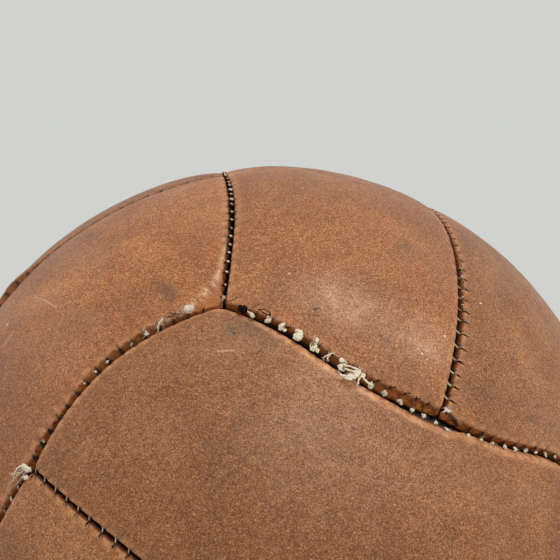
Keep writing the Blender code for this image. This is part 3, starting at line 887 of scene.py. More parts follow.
class Nodes:
    """Short names for the shader nodes used below."""

    def __init__(self, tree):
        self.tree = tree

    def node(self, kind, **inputs):
        n = self.tree.nodes.new(kind)
        for key, value in inputs.items():
            n.inputs[key].default_value = value
        return n

    def link(self, a, b):
        self.tree.links.new(a, b)

    def coords(self, scale=(1, 1, 1), rotate=(0, 0, 0), shift=(0, 0, 0)):
        """Object coordinates in millimetres, stretched, turned and shifted."""
        c = self.node("ShaderNodeTexCoord")
        m = self.node("ShaderNodeMapping")
        m.inputs["Scale"].default_value = tuple(1000.0 * s for s in scale)
        m.inputs["Rotation"].default_value = rotate
        m.inputs["Location"].default_value = shift
        self.link(c.outputs["Object"], m.inputs["Vector"])
        return m.outputs["Vector"]

    def noise(self, vector, size, detail=3.0, rough=0.5, distort=0.0):
        n = self.node("ShaderNodeTexNoise", Scale=1.0 / size, Detail=detail, Roughness=rough, Distortion=distort)
        self.link(vector, n.inputs["Vector"])
        return n.outputs["Fac"]

    def voronoi(self, vector, size, feature="F1", random=1.0):
        n = self.node("ShaderNodeTexVoronoi")
        n.feature = feature
        n.inputs["Scale"].default_value = 1.0 / size
        n.inputs["Randomness"].default_value = random
        self.link(vector, n.inputs["Vector"])
        return n

    def ramp(self, value, *stops):
        n = self.node("ShaderNodeValToRGB")
        e = n.color_ramp.elements
        while len(e) > 1:
            e.remove(e[-1])
        for k, (pos, col) in enumerate(stops):
            el = e[0] if k == 0 else e.new(pos)
            el.position = pos
            el.color = (*col, 1.0) if isinstance(col, tuple) else (col, col, col, 1.0)
        self.link(value, n.inputs["Fac"])
        return n.outputs["Color"]

    def math(self, op, a, b=0.0, c=0.0):
        n = self.tree.nodes.new("ShaderNodeMath")
        n.operation = op
        for k, value in enumerate((a, b, c)):
            if isinstance(value, (int, float)):
                n.inputs[k].default_value = value
            else:
                self.link(value, n.inputs[k])
        return n.outputs[0]

    def remap(self, value, low, high, to_low=0.0, to_high=1.0):
        n = self.tree.nodes.new("ShaderNodeMapRange")
        n.clamp = True
        n.inputs["From Min"].default_value = low
        n.inputs["From Max"].default_value = high
        n.inputs["To Min"].default_value = to_low
        n.inputs["To Max"].default_value = to_high
        self.link(value, n.inputs["Value"])
        return n.outputs["Result"]

    def mix(self, share, a, b, mode="MIX"):
        n = self.tree.nodes.new("ShaderNodeMix")
        n.data_type = "RGBA"
        n.blend_type = mode
        n.clamp_factor = True
        for key, value in ((0, share), (6, a), (7, b)):
            if isinstance(value, (int, float)):
                n.inputs[key].default_value = value
            elif isinstance(value, tuple):
                n.inputs[key].default_value = (*value, 1.0)
            else:
                self.link(value, n.inputs[key])
        return n.outputs[2]

    def vector(self, op, a, b=None):
        n = self.tree.nodes.new("ShaderNodeVectorMath")
        n.operation = op
        for key, value in ((0, a), ("Scale" if op == "SCALE" else 1, b)):
            if value is None:
                continue
            if isinstance(value, (tuple, float)):
                n.inputs[key].default_value = value
            else:
                self.link(value, n.inputs[key])
        return n.outputs["Value" if op in ("DOT_PRODUCT", "LENGTH") else "Vector"]

    def from_segment(self, place, a, b):
        """Distance in mm from the short line between two directions on the ball."""
        a = unit(np.array(a, float)) * RADIUS
        run = unit(np.array(b, float)) * RADIUS - a
        long = float(np.linalg.norm(run))
        offset = self.vector("SUBTRACT", place, tuple(map(float, a)))
        if long > 0.01:
            run = tuple(map(float, run / long))
            share = self.math("MINIMUM", self.math("MAXIMUM", self.vector("DOT_PRODUCT", offset, run), 0.0), long)
            n = self.tree.nodes.new("ShaderNodeVectorMath")
            n.operation = "SCALE"
            n.inputs[0].default_value = run
            self.link(share, n.inputs["Scale"])
            offset = self.vector("SUBTRACT", offset, n.outputs["Vector"])
        return self.vector("LENGTH", offset)

    def attribute(self, name):
        n = self.node("ShaderNodeAttribute")
        n.attribute_name = name
        return n.outputs["Fac"]

    def bump(self, height, strength, distance, normal=None):
        n = self.node("ShaderNodeBump")
        n.inputs["Strength"].default_value = strength
        n.inputs["Distance"].default_value = distance
        self.link(height, n.inputs["Height"])
        if normal is not None:
            self.link(normal, n.inputs["Normal"])
        return n.outputs["Normal"]


# the darkest tone, for the line along a fold, is painted shade
MARK_TONES = {"pale": (0.68, 0.41, 0.25), "dark": (0.045, 0.020, 0.011), "fleck": (0.98, 0.88, 0.74), "slit": (0.028, 0.010, 0.004)}


def leather_material(name, tone, warm, seed, marks=()):
    mat, tree, shader = new_material(name)
    k = Nodes(tree)
    shift = tuple(37.0 * math.sin(seed * x) for x in (1.3, 2.1, 3.7))
    at = k.coords(shift=shift)
    seam_d, stitch, tick = k.attribute("seam_d"), k.attribute("stitch"), k.attribute("tick")
    crease, stain, shine = k.attribute("crease"), k.attribute("stain"), k.attribute("shine")
    glow, gloom, lit = k.attribute("glow"), k.attribute("gloom"), k.attribute("lit")

    # hide colour: clouds of darker and paler tan, then finer mottling
    clouds = k.noise(at, 52.0, 4.0, 0.55, 0.6)
    patches = k.noise(at, 13.0, 5.0, 0.6, 0.4)
    mottle = k.noise(at, 2.6, 5.0, 0.62)
    speck = k.noise(at, 0.95, 3.0, 0.7)
    t3 = lambda c: tuple(tone * x for x in c)
    deep = t3((0.240 * warm, 0.078, 0.0185))
    mid = t3((0.345 * warm, 0.122, 0.030))
    pale = t3((0.450 * warm, 0.178, 0.052))
    colour = k.ramp(clouds, (0.30, deep), (0.50, mid), (0.70, pale))
    colour = k.mix(k.remap(patches, 0.45, 0.66, 0.0, 0.60), colour, t3((0.285 * warm, 0.098, 0.028)))
    fine = k.noise(at, 0.46, 2.0, 0.65)
    grain_tone = k.math("ADD", k.math("MULTIPLY", k.math("SUBTRACT", speck, 0.5), 1.8), k.math("MULTIPLY", k.math("SUBTRACT", fine, 0.5), 4.4))
    grain_tone = k.math("ADD", grain_tone, k.math("MULTIPLY", k.math("SUBTRACT", mottle, 0.5), 0.8))
    grain_tone = k.math("MINIMUM", k.math("MAXIMUM", k.math("ADD", grain_tone, 1.04), 0.56), 2.1)
    colour = k.mix(1.0, colour, grain_tone, "MULTIPLY")
    colour = k.mix(k.remap(grain_tone, 1.25, 1.8, 0.0, 0.45), colour, t3((0.62, 0.36, 0.20)))
    colour = k.mix(k.remap(grain_tone, 0.80, 0.56, 0.0, 0.5), colour, t3((0.190, 0.056, 0.011)))
    # a greyish handled bloom that comes and goes
    bloom = k.noise(at, 31.0, 3.0, 0.5, 0.8)
    bloom = k.math("MULTIPLY", k.remap(bloom, 0.52, 0.74), k.remap(k.noise(at, 3.4, 4.0, 0.7), 0.35, 0.7, 0.35, 1.0))
    colour = k.mix(k.math("MULTIPLY", bloom, 0.38), colour, (0.34, 0.185, 0.115))
    grime = k.math("MULTIPLY", k.remap(k.noise(k.coords(shift=tuple(-s for s in shift)), 22.0, 5.0, 0.65, 1.2), 0.60, 0.78),
                   k.remap(k.noise(at, 1.5, 3.0, 0.7), 0.3, 0.7, 0.3, 1.0))
    colour = k.mix(k.math("MULTIPLY", grime, 0.38), colour, (0.085, 0.052, 0.036))
    # hair pores and odd dark pits
    pores = k.voronoi(at, 1.15)
    pore = k.remap(pores.outputs["Distance"], 0.30, 0.12)
    colour = k.mix(k.math("MULTIPLY", pore, 0.22), colour, (0.11, 0.046, 0.022))
    pits = k.voronoi(at, 6.5)
    sparse = k.noise(at, 9.0, 1.0, 0.5)
    pit = k.math("MULTIPLY", k.remap(pits.outputs["Distance"], 0.075, 0.03), k.remap(sparse, 0.58, 0.62))
    colour = k.mix(k.math("MULTIPLY", pit, 0.8), colour, (0.06, 0.030, 0.018))
    dust = k.voronoi(k.coords(shift=(91.0, 17.0, 5.0)), 11.0)
    fleck = k.math("MULTIPLY", k.remap(dust.outputs["Distance"], 0.040, 0.022), k.remap(sparse, 0.48, 0.52))
    colour = k.mix(k.math("MULTIPLY", fleck, 0.8), colour, (0.62, 0.52, 0.42))

    # fine scratches, three directions, broken up by noise
    scratch = None
    for index, (turn, size, keep) in enumerate((((0.4, 0.9, 0.3), 15.0, 0.60), ((1.7, 0.2, 1.1), 21.0, 0.62), ((2.6, 1.4, 0.5), 12.0, 0.63))):
        along = k.coords(scale=(1.0, 0.055, 1.0), rotate=turn, shift=shift)
        line = k.noise(along, size / 9.0, 2.0, 0.5, 0.15)
        thin = k.remap(k.math("ABSOLUTE", k.math("SUBTRACT", line, 0.5)), 0.0055, 0.0015)
        thin = k.math("MULTIPLY", thin, k.remap(k.noise(k.coords(shift=(index * 13.0, seed * 3.0, 4.0)), 9.0, 2.0), keep - 0.06, keep + 0.02))
        scratch = thin if scratch is None else k.math("MAXIMUM", scratch, thin)
    colour = k.mix(k.math("MULTIPLY", scratch, 0.40), colour, t3((0.52, 0.31, 0.20)))

    # towards a seam the hide is more orange; its turned-in wall is deep red brown, painted brighter orange where it is
    # lit
    near = k.remap(seam_d, 7.0, 0.6)
    near = k.math("MULTIPLY", near, k.remap(k.noise(at, 7.0, 3.0), 0.3, 0.7, 0.35, 1.0))
    colour = k.mix(k.math("MULTIPLY", near, 0.35), colour, t3((0.36, 0.118, 0.032)))
    # painted light: the rolled lip is painted a bright peach orange, standing in for the light on its turn
    lip_light_tone = k.ramp(mottle, (0.36, (0.52, 0.175, 0.050)), (0.60, (0.95, 0.48, 0.23)))
    colour = k.mix(k.math("MULTIPLY", glow, 0.85), colour, lip_light_tone)
    wall_tone = k.ramp(k.noise(at, 2.4, 4.0, 0.65), (0.30, (0.14, 0.036, 0.011)), (0.52, (0.30, 0.088, 0.022)), (0.75, (0.44, 0.150, 0.042)))
    # painted light: where lit is set, the wall is painted a bright orange
    wall_tone = k.mix(k.math("MULTIPLY", lit, 0.9), wall_tone, k.ramp(k.noise(at, 1.3, 4.0, 0.65), (0.34, (0.36, 0.085, 0.010)), (0.52, (0.70, 0.215, 0.028)), (0.68, (0.86, 0.36, 0.08))))
    colour = k.mix(k.remap(seam_d, 0.5, -0.3), colour, wall_tone)
    # painted shade: deep in the slot the wall is painted near black
    colour = k.mix(k.math("MULTIPLY", gloom, 0.97), colour, (0.010, 0.004, 0.003))
    # painted highlight: a paler band along the turn of each rolled lip
    rim = k.math("MULTIPLY", k.remap(k.math("ABSOLUTE", k.math("SUBTRACT", seam_d, 0.7)), 0.6, 0.0),
                 k.remap(k.noise(at, 1.7, 3.0, 0.6), 0.42, 0.70))
    colour = k.mix(k.math("MULTIPLY", rim, 0.35), colour, (0.55, 0.29, 0.155))
    # painted shade in the dents that the stitches pull into the lips
    colour = k.mix(k.math("MULTIPLY", stitch, 0.30), colour, (0.13, 0.044, 0.015))
    # dark ticks: dark thread in each stitch groove, with the groove's painted shade
    colour = k.mix(k.math("MINIMUM", tick, 0.93), colour, (0.020, 0.008, 0.005))
    colour = k.mix(k.math("MULTIPLY", stain, 0.75), colour, (0.060, 0.045, 0.036))
    # painted highlight: where shine is set, the hide is painted in this paler tone, as if lit by the lamp's broad
    # sheen; shine also lowers the roughness
    worn = k.ramp(grain_tone, (0.45, (0.36, 0.140, 0.060)), (0.64, (0.60, 0.280, 0.140)), (0.95, (0.92, 0.58, 0.36)))
    colour = k.mix(k.math("MULTIPLY", k.math("MINIMUM", shine, 1.0), 0.8), colour, worn)
    # painted light: the corner's hollow is painted a lit golden orange
    colour = k.mix(k.math("MULTIPLY", crease, 0.85), colour, t3((0.44, 0.125, 0.014)))
    if marks:
        raw = k.coords()
        place = k.vector("SCALE", k.vector("NORMALIZE", k.vector("SUBTRACT", raw, tuple(CENTRE))), RADIUS)
        ragged = k.math("SUBTRACT", k.noise(raw, 0.8, 3.0, 0.6), 0.5)
        for kind, places, width, share in marks:
            line = None
            for a, b in zip(places, places[1:] or places):
                away = k.math("ADD", k.from_segment(place, a, b), k.math("MULTIPLY", ragged, 2.4 * width))
                near_line = k.remap(away, 1.25 * width, 0.35 * width)
                line = near_line if line is None else k.math("MAXIMUM", line, near_line)
            colour = k.mix(k.math("MULTIPLY", line, share), colour, MARK_TONES[kind])
    k.link(colour, shader.inputs["Base Color"])

    rough = k.remap(patches, 0.3, 0.75, 0.38, 0.54)
    rough = k.math("ADD", rough, k.remap(mottle, 0.3, 0.7, -0.05, 0.06))
    rough = k.math("ADD", rough, k.math("MULTIPLY", bloom, 0.08))
    rough = k.math("SUBTRACT", rough, k.math("MULTIPLY", shine, 0.16))
    k.link(rough, shader.inputs["Roughness"])
    shader.inputs["IOR"].default_value = 1.47
    shader.inputs["Specular IOR Level"].default_value = 0.42
    shader.inputs["Coat Weight"].default_value = 0.07
    shader.inputs["Coat Roughness"].default_value = 0.33
    shader.inputs["Coat IOR"].default_value = 1.45

    # relief: grain cells, pores, wrinkles and scratches
    grain = k.voronoi(at, 0.62, "SMOOTH_F1").outputs["Distance"]
    height = k.math("ADD", k.math("MULTIPLY", grain, 0.10), k.math("MULTIPLY", speck, 0.20))
    height = k.math("ADD", height, k.math("MULTIPLY", mottle, 0.34))
    height = k.math("ADD", height, k.math("MULTIPLY", fine, 0.20))
    height = k.math("SUBTRACT", height, k.math("MULTIPLY", pore, 0.035))
    height = k.math("SUBTRACT", height, k.math("MULTIPLY", pit, 0.25))
    height = k.math("SUBTRACT", height, k.math("MULTIPLY", scratch, 0.06))
    folds = k.noise(k.coords(scale=(1.0, 0.45, 1.0), rotate=(0.5, 0.8, 0.3), shift=shift), 5.0, 4.0, 0.6, 1.1)
    height = k.math("ADD", height, k.math("MULTIPLY", folds, 0.22))
    k.link(k.bump(height, 1.0, 0.001), shader.inputs["Normal"])
    return mat


def thread_material(name, base, dirty):
    mat, tree, shader = new_material(name)
    k = Nodes(tree)
    at = k.coords()
    tint = k.attribute("tint")
    fluff = k.noise(at, 0.55, 4.0, 0.7)
    patch = k.noise(at, 2.2, 3.0, 0.6)
    colour = k.ramp(fluff, (0.34, (0.60 * base[0], 0.48 * base[1], 0.36 * base[2])), (0.46, base), (0.8, tuple(min(0.98, 1.12 * x) for x in base)))
    colour = k.mix(k.remap(patch, 0.50, 0.74, 0.0, 0.5), colour, dirty)
    # tint darkens the thread: its own dirt, and in the stitches that cross the slots also painted shade
    colour = k.mix(k.remap(tint, 0.05, 0.5), colour, (0.24, 0.115, 0.050))
    colour = k.mix(k.remap(tint, 0.4, 0.95), colour, (0.012, 0.007, 0.005))
    k.link(colour, shader.inputs["Base Color"])
    shader.inputs["Roughness"].default_value = 0.92
    shader.inputs["Specular IOR Level"].default_value = 0.12
    k.link(k.bump(k.math("ADD", k.math("MULTIPLY", fluff, 0.3), k.math("MULTIPLY", patch, 0.2)), 0.9, 0.001), shader.inputs["Normal"])
    return mat


def canvas_material():
    mat, tree, shader = new_material("lining_canvas_weave")
    k = Nodes(tree)
    at = k.coords()
    waves = []
    for turn in ((0, 0, 0), (0, 0, math.pi / 2)):
        w = k.node("ShaderNodeTexWave", Scale=1.0)
        w.inputs["Scale"].default_value = 0.9
        w.inputs["Distortion"].default_value = 0.6
        k.link(k.coords(rotate=turn), w.inputs["Vector"])
        waves.append(w.outputs["Fac"])
    weave = k.math("MAXIMUM", *waves)
    # the canvas is painted dark, and darker in patches: painted shade for the inside of the ball where it shows
    # through the seams
    hole_shade = k.noise(at, 18.0, 4.0, 0.6)
    colour = k.ramp(weave, (0.2, (0.10, 0.070, 0.042)), (0.8, (0.23, 0.180, 0.115)))
    colour = k.mix(k.remap(hole_shade, 0.35, 0.6, 0.2, 0.85), colour, (0.035, 0.022, 0.014))
    k.link(colour, shader.inputs["Base Color"])
    shader.inputs["Roughness"].default_value = 0.9
    k.link(k.bump(weave, 0.6, 0.0004), shader.inputs["Normal"])
    return mat


def hair_material():
    mat, tree, shader = new_material("packed_hair_mat")
    k = Nodes(tree)
    strands = k.noise(k.coords(scale=(1, 0.12, 1), rotate=(0.4, 0.7, 0.2)), 1.2, 5.0, 0.7, 2.0)
    lumps = k.noise(k.coords(), 12.0, 4.0, 0.6)
    colour = k.ramp(strands, (0.3, (0.030, 0.020, 0.014)), (0.6, (0.11, 0.075, 0.050)), (0.8, (0.24, 0.18, 0.13)))
    colour = k.mix(k.remap(lumps, 0.4, 0.7, 0.0, 0.5), colour, (0.16, 0.13, 0.11))
    k.link(colour, shader.inputs["Base Color"])
    shader.inputs["Roughness"].default_value = 0.95
    k.link(k.bump(strands, 0.8, 0.001), shader.inputs["Normal"])
    return mat


# ------------------------------------------------------------ build the cover
def toward(x, y, z):
    return unit(np.array([x, y, z], float))


def spot(world, centre, across, along=None, turn=0.0):
    """A soft spot on the ball: 1 at its centre, with half widths in mm."""
    c = toward(*centre)
    east = unit(np.cross(np.array([0.0, 0.0, 1.0]), c))
    north = np.cross(c, east)
    e, n = (world @ east) * RADIUS, (world @ north) * RADIUS
    ct, st = math.cos(turn), math.sin(turn)
    e, n = ct * e + st * n, ct * n - st * e
    r = (e / across) ** 2 + (n / (along or across)) ** 2
    return np.exp(-r) * (world @ c > 0.0)


STAINS_AND_SHEEN = [
    # panel, centre, half widths, turn, stain, shine (the strength of a painted highlight)
    ("left_front", (-0.249, -0.531, 0.810), 4.2, 2.6, -0.6, 0.95, 0.0),
    ("left_front", (-0.270, -0.512, 0.815), 7.0, 2.6, -0.6, 0.45, 0.0),
    ("left_front", (-0.476, -0.175, 0.861), 14.0, 4.5, 0.4, 0.42, 0.0),
    ("left_front", (-0.520, -0.240, 0.815), 24.0, 8.0, 0.5, 0.22, 0.1),
    ("front_upper", (-0.032, -0.658, 0.752), 8.5, 3.2, -0.55, 0.66, 0.0),
    ("front_upper", (-0.091, -0.655, 0.748), 4.0, 3.0, 0.0, 0.60, 0.0),
    ("front_upper", (-0.060, -0.680, 0.730), 13.0, 8.0, 0.0, 0.17, 0.1),
    ("front_upper", (-0.275, -0.788, 0.550), 42.0, 30.0, 0.0, 0.20, 0.0),
    ("left_front", (-0.517, -0.533, 0.670), 16.0, 12.0, 0.0, 0.0, 0.10),
    ("top_right", (0.666, -0.529, 0.526), 15.0, 15.0, 0.0, 0.0, 0.12),
    ("front_upper", (0.066, -0.848, 0.526), 20.0, 14.0, 0.0, 0.0, 0.12),
    ("front_upper", (0.130, -0.760, 0.640), 26.0, 15.0, 0.3, 0.0, 0.24),
    ("front_upper", (0.240, -0.850, 0.470), 34.0, 18.0, 0.2, 0.0, 0.18),
    ("top_left", (0.179, -0.580, 0.796), 15.0, 8.5, -0.5, 0.0, 0.60),
    ("top_left", (0.365, -0.628, 0.688), 5.0, 3.0, -0.4, 0.0, 0.40),
    ("top_left", (0.373, -0.715, 0.591), 4.0, 3.0, 0.0, 0.45, 0.0),
    ("top_left", (0.366, -0.606, 0.706), 11.0, 9.0, -0.4, 0.0, 0.46),
    ("top_left", (0.274, -0.640, 0.718), 2.4, 1.6, 0.2, 0.70, 0.0),
    ("top_left", (0.336, -0.354, 0.873), 3.5, 2.6, 0.2, 0.55, 0.0),
    ("top_left", (0.300, -0.700, 0.650), 13.0, 5.0, -0.4, 0.30, 0.0),
    ("top_left", (0.100, -0.050, 0.990), 30.0, 14.0, 0.1, 0.30, 0.0),
    ("top_right", (0.640, -0.584, 0.499), 2.2, 1.5, 0.0, 0.75, 0.0),
    ("top_right", (0.500, -0.640, 0.590), 7.0, 4.0, -0.5, 0.45, 0.0),
    ("top_right", (0.560, -0.320, 0.760), 26.0, 16.0, 0.3, 0.22, 0.0),
]


# each spot adds a real stain and a painted highlight, as its columns give
def smudges(panel, d, world, open_d, height, extra):
    for name, centre, across, along, turn, stain, shine in STAINS_AND_SHEEN:
        if name == panel.name:
            rough = 0.55 + 0.75 * np.clip(fbm(world * RADIUS / 2.4, 71, 3) + 0.25, 0.0, 1.0)
            value = spot(world, centre, across, along, turn) * rough * (open_d > -1.0)
            extra[1] += stain * value
            extra[2] += shine * value


def corner_web(panel, d, world, open_d, height, extra):
    """Where three seams meet, the left front panel is drawn down into the corner between
    its two seams, with a soft ridge round the hollow."""
    if panel.name != "left_front":
        return
    corner = EDGES[E_TOP_LEFT][0].p[-1]
    near = angle_mm(d, corner)
    here = np.nonzero((near < 75.0) & (open_d > -1.0))[0]
    across = []
    for key in (E_TOP_LEFT, E_FRONT_LEFT):
        line = EDGES[key][0].p[::4]
        gap = 1.0 - (d[here] @ line.T).max(axis=1)
        across.append(RADIUS * np.arccos(np.clip(1.0 - gap, -1, 1)))
    both = across[0] * across[1]
    fade = np.exp(-(np.maximum(near[here] - 12.0, 0.0) / 26.0) ** 2)
    wave = 1.0 + 0.25 * fbm(world[here] * RADIUS / 9.0, 81, 2)
    height[here] -= 1.9 * fade * np.exp(-(both * wave / 36.0) ** 1.3) - 0.40 * fade * bell(both * wave, 62.0, 26.0)
    ridge = bell(both * wave, 42.0, 13.0) * fade * np.clip(0.60 + 1.3 * fbm(world[here] * RADIUS / 1.3, 83, 2), 0.0, 1.0)
    # the ridge is also painted with a highlight
    extra[2][here] += 1.35 * ridge
    # painted light: the hollow is painted a lit golden orange
    extra[0][here] += fade * np.exp(-(both * wave / 30.0) ** 2)


def corner_crease(panel, d, world, open_d, height, extra):
    """A second fold beside the lip where the stem of the top face meets the front seam."""
    if panel.name != "top_right":
        return
    a, b = toward(0.409, -0.703, 0.582) * RADIUS, toward(0.450, -0.712, 0.540) * RADIUS
    run = (b - a) / np.linalg.norm(b - a)
    offset = world * RADIUS - a
    share = np.clip(offset @ run, 0.0, np.linalg.norm(b - a))
    away = np.linalg.norm(offset - share[:, None] * run, axis=1)
    height -= 0.9 * np.exp(-(away / 0.8) ** 2) * (open_d > -0.5)


def raised_lip(panel, d, world, open_d, height, extra):
    """The far side of the left seam stands proud for a short way."""
    if panel.name != "left_back":
        return
    line = STEMS[S_LEFT]
    where = np.argmax(d @ line.p[::2].T, axis=1)
    s = line.s[::2][where]
    near = RADIUS * np.arccos(np.clip((d * line.p[::2][where]).sum(axis=1), -1, 1))
    height += (1.9 * bell(s, 97.0, 9.0) + 0.8 * bell(s, 130.0, 70.0)) * np.exp(-(near / 9.0) ** 2) * (open_d > -2.0)


def soft_folds(panel, d, world, open_d, height, extra):
    """Faint gathers: stretched noise added to the height of the open hide."""
    q = world * RADIUS
    gather = fbm(np.stack([q[:, 0] / 17.0, q[:, 1] / 6.5, q[:, 2] / 17.0], axis=-1), 91, 3)
    height += 0.10 * gather * (open_d > -1.0)


# how pale and how warm the hides of the four large panels in front are
TONES = {"front_upper": (0.98, 1.0), "top_left": (1.05, 1.02), "left_front": (1.07, 1.04), "top_right": (0.98, 0.99)}

# Single scratches, nicks and flecks, and a painted shade line along a fold: panel, kind, places on the ball, width in
# mm, strength
MARKS = [
    ("front_upper", "pale", ((-0.124, -0.693, 0.710), (-0.087, -0.696, 0.713)), 0.34, 0.85),
    ("front_upper", "dark", ((-0.033, -0.706, 0.707), (-0.021, -0.696, 0.717)), 0.30, 0.70),
    ("front_upper", "pale", ((0.226, -0.746, 0.627), (0.249, -0.756, 0.606), (0.268, -0.759, 0.593)), 0.30, 0.45),
    ("front_upper", "dark", ((0.189, -0.805, 0.562),), 0.55, 0.75),
    ("front_upper", "dark", ((-0.246, -0.733, 0.634),), 0.45, 0.70),
    ("top_left", "dark", ((0.054, -0.622, 0.781), (0.085, -0.621, 0.779), (0.116, -0.622, 0.774)), 0.30, 0.55),
    ("top_left", "dark", ((0.102, -0.610, 0.786), (0.115, -0.604, 0.788)), 0.50, 0.85),
    ("top_left", "fleck", ((0.044, -0.524, 0.850),), 0.42, 0.9),
    ("top_left", "fleck", ((0.360, -0.635, 0.684),), 0.40, 0.9),
    ("top_left", "fleck", ((0.352, -0.628, 0.694),), 0.30, 0.8),
    ("top_left", "fleck", ((0.372, -0.640, 0.673),), 0.30, 0.7),
    ("top_left", "fleck", ((0.422, -0.567, 0.707),), 0.50, 0.95),
    ("top_left", "pale", ((0.071, -0.417, 0.906), (0.110, -0.360, 0.927)), 0.26, 0.35),
    ("top_right", "fleck", ((0.532, -0.407, 0.743),), 0.50, 0.9),
    ("top_right", "fleck", ((0.514, -0.406, 0.756),), 0.36, 0.8),
    ("top_right", "fleck", ((0.548, -0.211, 0.810),), 0.40, 0.7),
    # painted shade along the fold made by corner_crease, with a pale line beside it, a painted highlight on the fold's
    # edge
    ("top_right", "slit", ((0.409, -0.703, 0.582), (0.431, -0.709, 0.558), (0.450, -0.712, 0.540)), 0.55, 0.92),
    ("top_right", "pale", ((0.418, -0.699, 0.580), (0.439, -0.705, 0.557), (0.456, -0.709, 0.539)), 0.34, 0.55),
    ("left_front", "pale", ((-0.695, -0.373, 0.615), (-0.668, -0.357, 0.653)), 0.38, 0.70),
    ("left_front", "pale", ((-0.621, -0.295, 0.726), (-0.582, -0.354, 0.732), (-0.544, -0.412, 0.731)), 0.36, 0.70),
    ("left_front", "fleck", ((-0.696, -0.301, 0.652),), 0.70, 0.6),
    ("left_front", "pale", ((-0.532, -0.475, 0.701), (-0.519, -0.461, 0.720)), 0.30, 0.6),
    ("left_front", "dark", ((-0.627, -0.451, 0.635),), 0.50, 0.7),
]

FEATURES = [smudges, corner_web, corner_crease, raised_lip, soft_folds]
panels = []
for face, split, along, names in FACES:
    for name, side in zip(names, (1, -1)):
        panels.append(Panel(name, face, split, along, side))

for index, panel in enumerate(panels):
    verts, faces, attributes = build_panel(panel, FEATURES)
    piece = mesh_object("cover_" + panel.name, verts, faces, attributes)
    tone, warm = TONES.get(panel.name, (0.97 + 0.06 * math.sin(index * 2.7), 1.0 + 0.03 * math.sin(index * 1.9 + 1.0)))
    marks = [mark[1:] for mark in MARKS if mark[0] == panel.name]
    piece.data.materials.append(leather_material("hide_" + panel.name, tone, warm, index + 1, marks))
    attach(piece, "root")
    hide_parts("panel_" + panel.name)

# ------------------------------------------------------------ build the seams
# Knots and matted tufts: length along the seam, distance across it, height,
# half sizes along, across and outward, how dark, and how many loose hairs.
KNOTS = {
    E_FRONT_TOP: [
        (163.7, -0.3, -0.3, (1.6, 1.45, 1.3), 0.96, 5), (160.0, 0.4, -0.5, (1.5, 0.75, 0.7), 0.05, 6),
        (154.3, -0.3, -0.8, (0.8, 1.4, 0.7), 0.14, 6), (149.2, -0.6, -0.6, (1.15, 1.6, 1.0), 0.0, 8),
        (142.7, -0.6, -0.4, (1.6, 1.85, 1.2), 0.0, 12), (136.7, -0.7, -0.4, (1.3, 2.05, 1.1), 0.0, 12),
        (130.8, -1.4, -1.4, (0.35, 1.3, 0.4), 0.1, 7), (125.6, -2.6, -0.9, (0.9, 0.5, 0.5), 0.0, 4),
        (113.9, 0.3, -0.8, (1.0, 1.15, 0.8), 0.17, 9), (108.7, 0.4, -0.8, (0.85, 1.0, 0.7), 0.15, 9),
        (103.1, 1.1, -0.9, (0.9, 0.8, 0.6), 0.17, 9), (98.4, 2.4, -1.0, (0.68, 0.66, 0.58), 0.08, 5),
        (94.1, 3.0, -1.1, (0.68, 0.66, 0.58), 0.1, 5), (89.4, 3.8, -1.2, (0.65, 0.66, 0.55), 0.1, 4),
        (84.2, 4.3, -1.4, (0.9, 0.55, 0.5), 0.12, 3), (76.2, 2.3, -1.4, (0.75, 0.70, 0.6), 0.1, 2),
        (71.1, 1.5, -1.4, (0.70, 0.68, 0.6), 0.12, 2), (66.3, 1.1, -1.4, (0.62, 0.68, 0.55), 0.12, 2),
        (61.0, 0.8, -1.4, (0.75, 0.70, 0.6), 0.12, 2), (56.0, 0.6, -1.4, (0.70, 0.72, 0.6), 0.08, 2),
        (51.2, 0.4, -1.4, (0.58, 0.75, 0.55), 0.12, 1), (45.7, 0.1, -1.4, (0.60, 0.60, 0.5), 0.12, 1),
        (40.4, -0.2, -1.4, (0.62, 0.72, 0.5), 0.1, 1), (34.8, -0.6, -1.4, (0.55, 0.60, 0.5), 0.15, 1)],
    E_TOP_LEFT: [(173.6, 0.3, -0.7, (0.7, 0.6, 0.5), 0.3, 5)],
    E_FRONT_LEFT: [
        (164.4, 1.6, -0.1, (1.9, 1.8, 1.2), 0.08, 12), (148.2, 0.0, -0.6, (0.8, 0.7, 0.5), 0.12, 4),
        (152.6, 0.6, -0.9, (0.9, 0.6, 0.5), 0.4, 6), (86.6, 1.5, -0.4, (1.2, 1.35, 0.9), 0.06, 7),
        (86.7, -0.3, -0.4, (1.1, 1.15, 0.8), 0.0, 5), (84.3, -1.4, -0.7, (1.0, 0.85, 0.7), 0.0, 4)],
    S_TOP: [(1.6, -0.6, -0.4, (0.7, 1.2, 0.5), 0.1, 3)],
}


def strand(batch, seam, way, radius, seed, tint=0.0, wander=0.15, ends=3):
    """A free thread through (along, across, height) points, with frayed ends."""
    rng = np.random.default_rng(seed)
    way = np.asarray(way, float)
    t = np.linspace(0, len(way) - 1, 8 * len(way))
    cols = [np.interp(t, np.arange(len(way)), way[:, k]) for k in range(3)]
    kernel = np.hanning(9)[1:-1]; kernel /= kernel.sum()
    cols = [np.convolve(np.pad(c, 3, mode="edge"), kernel, "valid") for c in cols]
    p = seam.point(*cols)
    p = p + wander * np.stack([noise1(t * 1.7, seed + k) for k in range(3)], axis=-1)
    batch.tube(p, radius * (0.9 + 0.2 * noise1(t * 2.1, seed + 9)), sides=7, plies=0.14, twist=0.8, tint=tint)
    for end, inner in ((p[0], p[2]), (p[-1], p[-3])):
        if ends:
            batch.fibres(end, end - inner, ends, 1.3, 0.5, seed + 4, radius=0.08, tint=tint)


